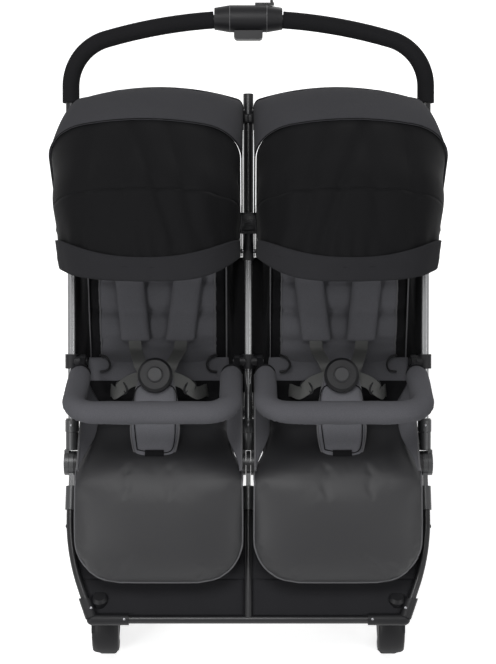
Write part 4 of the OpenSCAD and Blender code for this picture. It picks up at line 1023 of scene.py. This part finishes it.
for k, side in SIDES:
    pad, rim = flat_pad(f"{side}_crotch_pad", 0.094, CROTCH_LENGTH, 0.0138, 0.006, CLOTH_CROTCH_PAINTED_LIGHT, corner=0.3,
                        pull=0.001, nu=24, nv=44, taper=crotch_taper)
    for v in pad.data.vertices:
        v.co = crotch_spot(k, *v.co)
    cord = tube(f"{side}_crotch_pad_piping", [crotch_spot(k, *p) for p in rim + rim[:1]], 0.0022, PIPING)
    ring = curve_through([Vector((x, y, 0.0128)) for x, y in CROTCH_SEAM])
    inner = tube(f"{side}_crotch_pad_seam", [crotch_spot(k, *p) for p in ring], 0.0009, CLOTH_SEAMS_AND_PAINTED_SHADE, sides=6)
    # The strap slot is a real opening, drawn as a near-black band: painted shade for the inside of the slot
    slot_line = [crotch_spot(k, mix(-0.018, 0.018, i / 8), 0.022, 0.0145) for i in range(9)]
    slot_shade = strap(f"{side}_crotch_strap_slot", slot_line, crotch_plane(k)[1], 0.012, 0.0020, CLOTH_SEAMS_AND_PAINTED_SHADE)
    ride("chassis", "cloth_grey", pad, cord, inner, slot_shade)
    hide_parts("crotch_pads")

# Cloth between the seats and the backrests, and up the sides of the seats
CLOTH_T = 0.0012
EDGE_STEPS = 30
# Places of the cloth behind a seat: along and above the seat base, then up and out from the backrest
SEAT_FALL = ((-0.085, 0.021), (-0.060, 0.0225), (-0.034, 0.0225))
BACK_FALL = ((0.038, 0.0335), (0.078, 0.0270))


def share_steps():
    return [i / EDGE_STEPS for i in range(EDGE_STEPS + 1)]


for k, side in SIDES:
    back = back_plane(k)
    fall = [Vector((0, y, SEAT_TOP + rise)) for y, rise in SEAT_FALL]
    fall += [on_plane(back, 0, y, out) for y, out in BACK_FALL]
    fall = curve_through(fall, 6)

    def joining(u, v):
        p = fall[round(v * (len(fall) - 1))].copy()
        p += Vector((0, -0.002, 0.002)) * sin(pi * v) * (0.5 + 0.5 * sin(23 * u))
        p.x = k * BAY_X + mix(-0.140, 0.140, u)
        return p

    # The lower part of this cloth, behind the seat, is painted shade in near-black cloth; above the given
    # height it takes the seat's grey
    link = grid(f"{side}_seat_back_cloth", 40, len(fall) - 1, joining, CLOTH_SEAMS_AND_PAINTED_SHADE, CLOTH_T)
    painted(link, CLOTH_SEAT, lambda p: p.z > SEAT_TOP + 0.050)
    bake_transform(link)
    for edge, x_low, x_high in (("outer", 0.2930, 0.3215), ("inner", 0.0420, 0.0130)):

        def gusset(u, v):
            low = Vector((0, mix(-0.246, -0.058, u), SEAT_HIGH - 0.003))
            high = Vector((0, mix(-0.246, -0.0440, u), mix(SEAT_HIGH - 0.001, 0.4680, u)))
            p = low.lerp(high, v)
            x_foot = mix(mix(x_low, x_high, 0.9), x_low, smooth(1.6 * u))
            p.x = k * (mix(x_foot, x_high, v) + 0.002 * sin(pi * v) * sin(9 * u))
            return p

        wall = grid(f"{side}_{edge}_seat_gusset", EDGE_STEPS, 10, gusset, CLOTH_SEAT, CLOTH_T)
        cord = tube(f"{side}_{edge}_gusset_binding", [gusset(u, 1) for u in share_steps()], 0.0022, PIPING)
        ride("chassis", "cloth_grey", wall, cord)

# Side wings between the backrests and the frame tubes
BEHIND_TUBE = 0.0220
# Distances of both edges from the middle, and the share of the width that turns behind the tube's sleeve
WINGS = (("outer", 0.3130, 0.3440, 0.60), ("inner", 0.0430, 0.0006, 0.36))
for k, side in SIDES:
    for edge, x_in, x_out, turned in WINGS:

        def wing(u, v):
            p = on_plane(back_plane(k), 0, mix(0.034, 0.384, v), 0.024)
            m = p.lerp(along(mix(0.137, 0.404, v)) - TUBE_FRONT * BEHIND_TUBE, smooth(u / turned))
            m.x = k * mix(x_in, x_out, u)
            m.y += 0.0015 * sin(pi * u) * sin(21 * v)
            return m

        sheet = grid(f"{side}_{edge}_side_wing", 20, EDGE_STEPS, wing, CLOTH_DARK, CLOTH_T)
        cord = tube(f"{side}_{edge}_wing_piping", [wing(0, v) for v in share_steps()], 0.0016, PIPING)
        for obj in (sheet, cord):
            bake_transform(obj)

# Bumper bars
BUMPER_R = 0.023
BUMPER_REACH = 0.205
BUMPER_CORNER = 0.046
BUMPER_IN = 0.0325
BUMPER_OUT = 0.3235
BUMPER_FROM = 0.050
BUMPER_BEND_AT = 0.145


def bumper_path():
    """The padding's middle line in the plane of the arms, as [across, forward] from the inner end."""
    run = BUMPER_REACH - BUMPER_CORNER
    inner = [(BUMPER_IN, mix(BUMPER_FROM, run, i / 16)) for i in range(16)]
    for i in range(17):
        a = pi / 2 * i / 16
        inner.append((BUMPER_IN + BUMPER_CORNER * (1 - cos(a)), run + BUMPER_CORNER * sin(a)))
    outer = [(BUMPER_IN + BUMPER_OUT - x, forth) for x, forth in reversed(inner)]
    middle = [(mix(inner[-1][0], outer[0][0], i / 40), BUMPER_REACH) for i in range(1, 40)]
    return inner + middle + outer


for k, side in SIDES:
    forward = Vector((0, -cos(BUMPER_RISE), sin(BUMPER_RISE)))
    path = [BUMPER_PIVOT + Vector((k * x, 0, 0)) + forward * forth for x, forth in bumper_path()]
    whole = sum((b - a).length for a, b in zip(path, path[1:]))

    def girth(t, turn):
        """Full round padding that narrows at its ends and creases inside the bends."""
        s = t * whole
        ends = min(s, whole - s)
        r = BUMPER_R - 0.0015 - 0.005 * exp(-(ends / 0.006) ** 2)
        for bend in (BUMPER_BEND_AT, whole - BUMPER_BEND_AT):
            near = exp(-((s - bend) / 0.040) ** 2)
            r -= 0.0036 * near * (0.5 + 0.5 * sin((s - bend) * 560)) * (0.6 + 0.4 * cos(turn))
        return r + 0.0009 * noise.noise(Vector((s * 26, cos(turn) * 1.2, sin(turn) * 1.2 + 7 * k)))

    pad = tube(f"{side}_bumper_cover", path, girth, CLOTH_BUMPER, sides=28)
    ride(f"{side}_bumper", "cloth_grey", pad)
    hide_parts(f"{side}_bumper_pad")

# Baskets
BASKET_IN = 0.0685
BASKET_OUT = 0.2495
BASKET_HANG = SEAT_TOP - 0.010 - HINGE.z
BASKET_STRIP = [(-0.086, BASKET_HANG), (-0.086, -0.1298), (-0.062, -0.190), (0.0465, -0.206), (0.148, -0.158),
                (0.186, -0.098)]
BASKET_RIM = [(0.186, -0.098), (0.150, -0.060), (0.115, -0.024), (0.090, 0.0), (0.082, 0.0195),
              (0.050, 0.0197), (0.0148, 0.0199), (0.0128, BASKET_HANG)]

for k, side in SIDES:
    strip = curve_through([HINGE + Vector((0, y, z)) for y, z in BASKET_STRIP], 8)
    rim = curve_through([HINGE + Vector((0, y, z)) for y, z in BASKET_RIM], 5)
    count = len(strip) - 1

    def bag_place(u, v):
        p = strip[round(v * (len(strip) - 1))].copy()
        sag = 0.004 * sin(pi * u) * sin(pi * v)
        out = (p - HINGE - Vector((0, 0.03, -0.02))).normalized()
        p = p - out * (0.0056 + 0.0008 * (1 + sin(16 * u + 9 * v)) - sag)
        p.x = k * mix(BASKET_IN, BASKET_OUT, u)
        return p

    bag = grid(f"{side}_basket_cloth", 24, count, bag_place, CLOTH_DARK, CLOTH_T)
    cheeks = []
    for edge, x, inward in (("inner", BASKET_IN, 1), ("outer", BASKET_OUT, -1)):

        def cheek_place(u, v):
            low = strip[round(u * (len(strip) - 1))]
            high = rim[len(rim) - 1 - int(u * (len(rim) - 1))]
            p = low.lerp(high, v * 0.985 + 0.008)
            p.x = k * (x + inward * 0.006 * sin(pi * v) * sin(pi * u))
            return p

        cheeks.append(grid(f"{side}_basket_{edge}_cheek", count, 14, cheek_place, CLOTH_DARK, CLOTH_T))
    ride("chassis", "cloth_dark", bag, *cheeks)
    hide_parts(f"{side}_basket")
    edge_line = []
    for i in range(21):
        droop = sin(pi * i / 20)
        edge_line.append(Vector((k * mix(BASKET_IN, BASKET_OUT, i / 20), strip[-1].y - 0.003 * droop,
                                 strip[-1].z - 0.004 * droop)))
    ride("chassis", "webbing_black", tube(f"{side}_basket_binding", edge_line, 0.003, WEBBING, sides=10))

# Footwell panels
LEG_BEND_R = 0.400
LEG_BEND_FROM = 0.100
LEG_SIDE = 0.0055
WELL_FROM = 0.2245
INNER_WING_FROM = 0.036


def front_leg_point(x, s, lift):
    """A point of the front legs' plane, or lift above it, at distance s down from the hinge."""
    return HINGE + FRONT_DOWN * s + FRONT_UP * lift + Vector((x, 0, 0))


def beside_leg(s):
    """The inner edge of the bent front leg at distance s."""
    return SIDE_X - LEG_BEND_R + sqrt(LEG_BEND_R ** 2 - (s - LEG_BEND_FROM) ** 2) - LEG_SIDE


def beside_centre(s):
    """The inner edge of the footwell cloth, which passes the knuckle and then follows the centre leg."""
    return mix(0.0165, LEG_SIDE, smooth((s - 0.058) / 0.010))


def inner_wing_edge(s):
    """Edge of the cloth beside the centre leg: a strip at the hinge that widens to the footwell."""
    return mix(0.028, 0.0615, smooth((s - 0.120) / 0.045))


for k, side in SIDES:
    panels = []
    for label, s0, s1, x_in, x_out in (("main", WELL_FROM, 0.2975, lambda s: LEG_SIDE, beside_leg),
                                       ("inner", INNER_WING_FROM, WELL_FROM, beside_centre, inner_wing_edge),
                                       ("outer", 0.1305, WELL_FROM, lambda s: 0.2545, beside_leg)):

        def panel(u, v):
            s = mix(s0, s1, v)
            wave = 0.0007 * (1 + sin(21 * u + 2)) * sin(pi * u) * sin(pi * v)
            return front_leg_point(k * mix(x_in(s), x_out(s), u), s, -0.0012 - wave)

        panels.append(grid(f"{side}_footwell_{label}", 24, 14, panel, CLOTH_WELL, thick=0.0014))
    cloth_panel = joined(f"{side}_footwell_cloth", panels)
    ride("front_legs", "cloth_dark", cloth_panel)
    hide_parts("footwell_panels")

# Small fasteners and trim
for k, label in ((-1, "left"), (0, "centre"), (1, "right")):
    rivet(f"{label}_collar_screw", along(0.076, k * SIDE_X) + TUBE_FRONT * 0.0133, TUBE_FRONT, 0.0028, 0.0012,
          STEEL, "chassis", "pin_steel")
for k, side in SIDES:
    rivet(f"{side}_leg_rivet", front_leg_point(k * (SIDE_X + 0.0075), 0.124, 0), ACROSS * k, 0.0035, 0.0014,
          PAINT, "front_legs", "frame_black")
    for label, x, s, lift in (("leg", 0.2995, 0.280, 0.0119), ("bar", 0.236, 0.3011, 0.0109)):
        rivet(f"{side}_bracket_rivet_{label}", front_leg_point(k * x, s, lift), FRONT_UP, 0.0026, 0.0010,
              STEEL, "front_legs", "pin_steel")

# Clips that hold the rear corners of the canopies to the tubes, and seams round the handle's housing
CLIP_R = 0.0125
CLIP_TAB = ((0.008, 0.008), (0.014, 0.011), (0.020, 0.0125))
HOUSING_SEAM_R = 0.0259


def clip_girth(t, turn):
    return CLIP_R - 0.001 * (abs(2 * t - 1) > 0.9)


for k, side in SIDES:
    for label, x, inward in (("outer", k * SIDE_X, -k), ("inner", k * 0.004, k)):
        ring = tube(f"{side}_{label}_clip_ring", [along(0.664 + 0.003 * i, x) for i in range(7)], clip_girth,
                    PLASTIC, sides=20)
        tab_path = [along(0.673, x + inward * step) + TUBE_FRONT * rise for step, rise in CLIP_TAB]
        tab = strap(f"{side}_{label}_clip_tab", tab_path, TUBE_UP, 0.014, 0.003, PLASTIC)
        ride("upper_frame", "plastic_black", joined(f"{side}_{label}_canopy_clip", [ring, tab]))
    ring = []
    for a in circle(48) + [2 * pi]:
        ring.append(along(0.868, k * 0.036) + (TUBE_UP * sin(a) + TUBE_FRONT * cos(a)) * HOUSING_SEAM_R)
    ride("upper_frame", "plastic_black", tube(f"{side}_housing_seam", ring, 0.0006, SEAM, sides=6))

# Block on the centre upright between the canopies
BLOCK_AT = 0.473
BLOCK_LENGTH = 0.034
BLOCK_SECTION = ((-0.024, -0.5), (-0.0255, 0), (-0.024, 0.5), (0.024, 0.5), (0.0255, 0), (0.024, -0.5))
# Distance from the upright's middle and share of the section's size at each row
BLOCK_ROWS = ((0.0121, 0.92), (0.0138, 1.0), (0.0182, 1.0), (0.0200, 0.92))
rings = []
for rise, share in BLOCK_ROWS:
    rings.append([along(BLOCK_AT + BLOCK_LENGTH * b * share, a * share) + TUBE_FRONT * rise
                  for a, b in BLOCK_SECTION])
ride("upper_frame", "plastic_black", skin("centre_canopy_block", rings, PLASTIC))

# Stage, light and camera
FLOOR_HALF = 30
FLOOR_Z = -0.0002


def white_for_camera(tree, socket, seen, lit):
    """Sets a strength by rays: seen by the camera and in gloss, lit for the light that reaches the object."""
    rays = tree.nodes.new("ShaderNodeLightPath").outputs
    shows = rays["Is Camera Ray"]
    for kind in ("Is Glossy Ray", "Is Transmission Ray"):
        either = tree.nodes.new("ShaderNodeMath")
        either.operation = "MAXIMUM"
        tree.links.new(shows, either.inputs[0])
        tree.links.new(rays[kind], either.inputs[1])
        shows = either.outputs["Value"]
    level = tree.nodes.new("ShaderNodeMapRange")
    level.inputs["To Min"].default_value = lit
    level.inputs["To Max"].default_value = seen
    tree.links.new(shows, level.inputs["Value"])
    tree.links.new(level.outputs["Result"], socket)


floor_look = bpy.data.materials.new("floor_white")
floor_look.use_nodes = True
floor_shader = floor_look.node_tree.nodes["Principled BSDF"]
floor_shader.inputs["Base Color"].default_value = (0.85, 0.85, 0.85, 1)
floor_shader.inputs["Roughness"].default_value = 0.9
floor_shader.inputs["Emission Color"].default_value = (1, 1, 1, 1)
white_for_camera(floor_look.node_tree, floor_shader.inputs["Emission Strength"], 0.72, 0.0)
corners = [(x * FLOOR_HALF, y * FLOOR_HALF, FLOOR_Z) for x, y in ((-1, -1), (1, -1), (1, 1), (-1, 1))]
put("floor", corners, [(0, 1, 2, 3)], floor_look)

world = bpy.data.worlds.new("studio")
scene.world = world
world.use_nodes = True
sky = world.node_tree.nodes["Background"]
sky.inputs["Color"].default_value = (1, 1, 1, 1)
white_for_camera(world.node_tree, sky.inputs["Strength"], 1.0, 0.22)


def area_light(name, at, aim, size, power):
    data = bpy.data.lights.new(name, "AREA")
    data.shape = "RECTANGLE"
    data.size = size
    data.size_y = size
    data.energy = power
    obj = bpy.data.objects.new(name, data)
    scene.collection.objects.link(obj)
    obj.location = at
    obj.rotation_euler = (Vector(aim) - Vector(at)).to_track_quat("-Z", "Y").to_euler()


area_light("key", (-1.9, -2.5, 1.2), (0, -0.1, 0.5), 0.9, 33)
area_light("fill", (1.9, -2.1, 1.2), (0, 0, 0.5), 1.2, 16)
area_light("top", (-0.3, -1.0, 2.9), (0, 0, 0.5), 1.2, 46)
area_light("back", (0.9, 2.6, 1.7), (0, 0, 0.5), 1.2, 24)

ELEVATION = radians(39)
DISTANCE = 2.6
TARGET = Vector((0, -0.0254, 0.560))
camera_data = bpy.data.cameras.new("camera")
camera_data.sensor_fit = "VERTICAL"
camera_data.sensor_height = 36
camera_data.lens = 73.03
camera_data.shift_x = -0.0005
camera = bpy.data.objects.new("camera", camera_data)
scene.collection.objects.link(camera)
camera.location = TARGET + DISTANCE * Vector((0, -cos(ELEVATION), sin(ELEVATION)))
camera.rotation_euler = (radians(90) - ELEVATION, 0, 0)
scene.camera = camera
scene.view_settings.view_transform = "Standard"
scene.view_settings.look = "None"
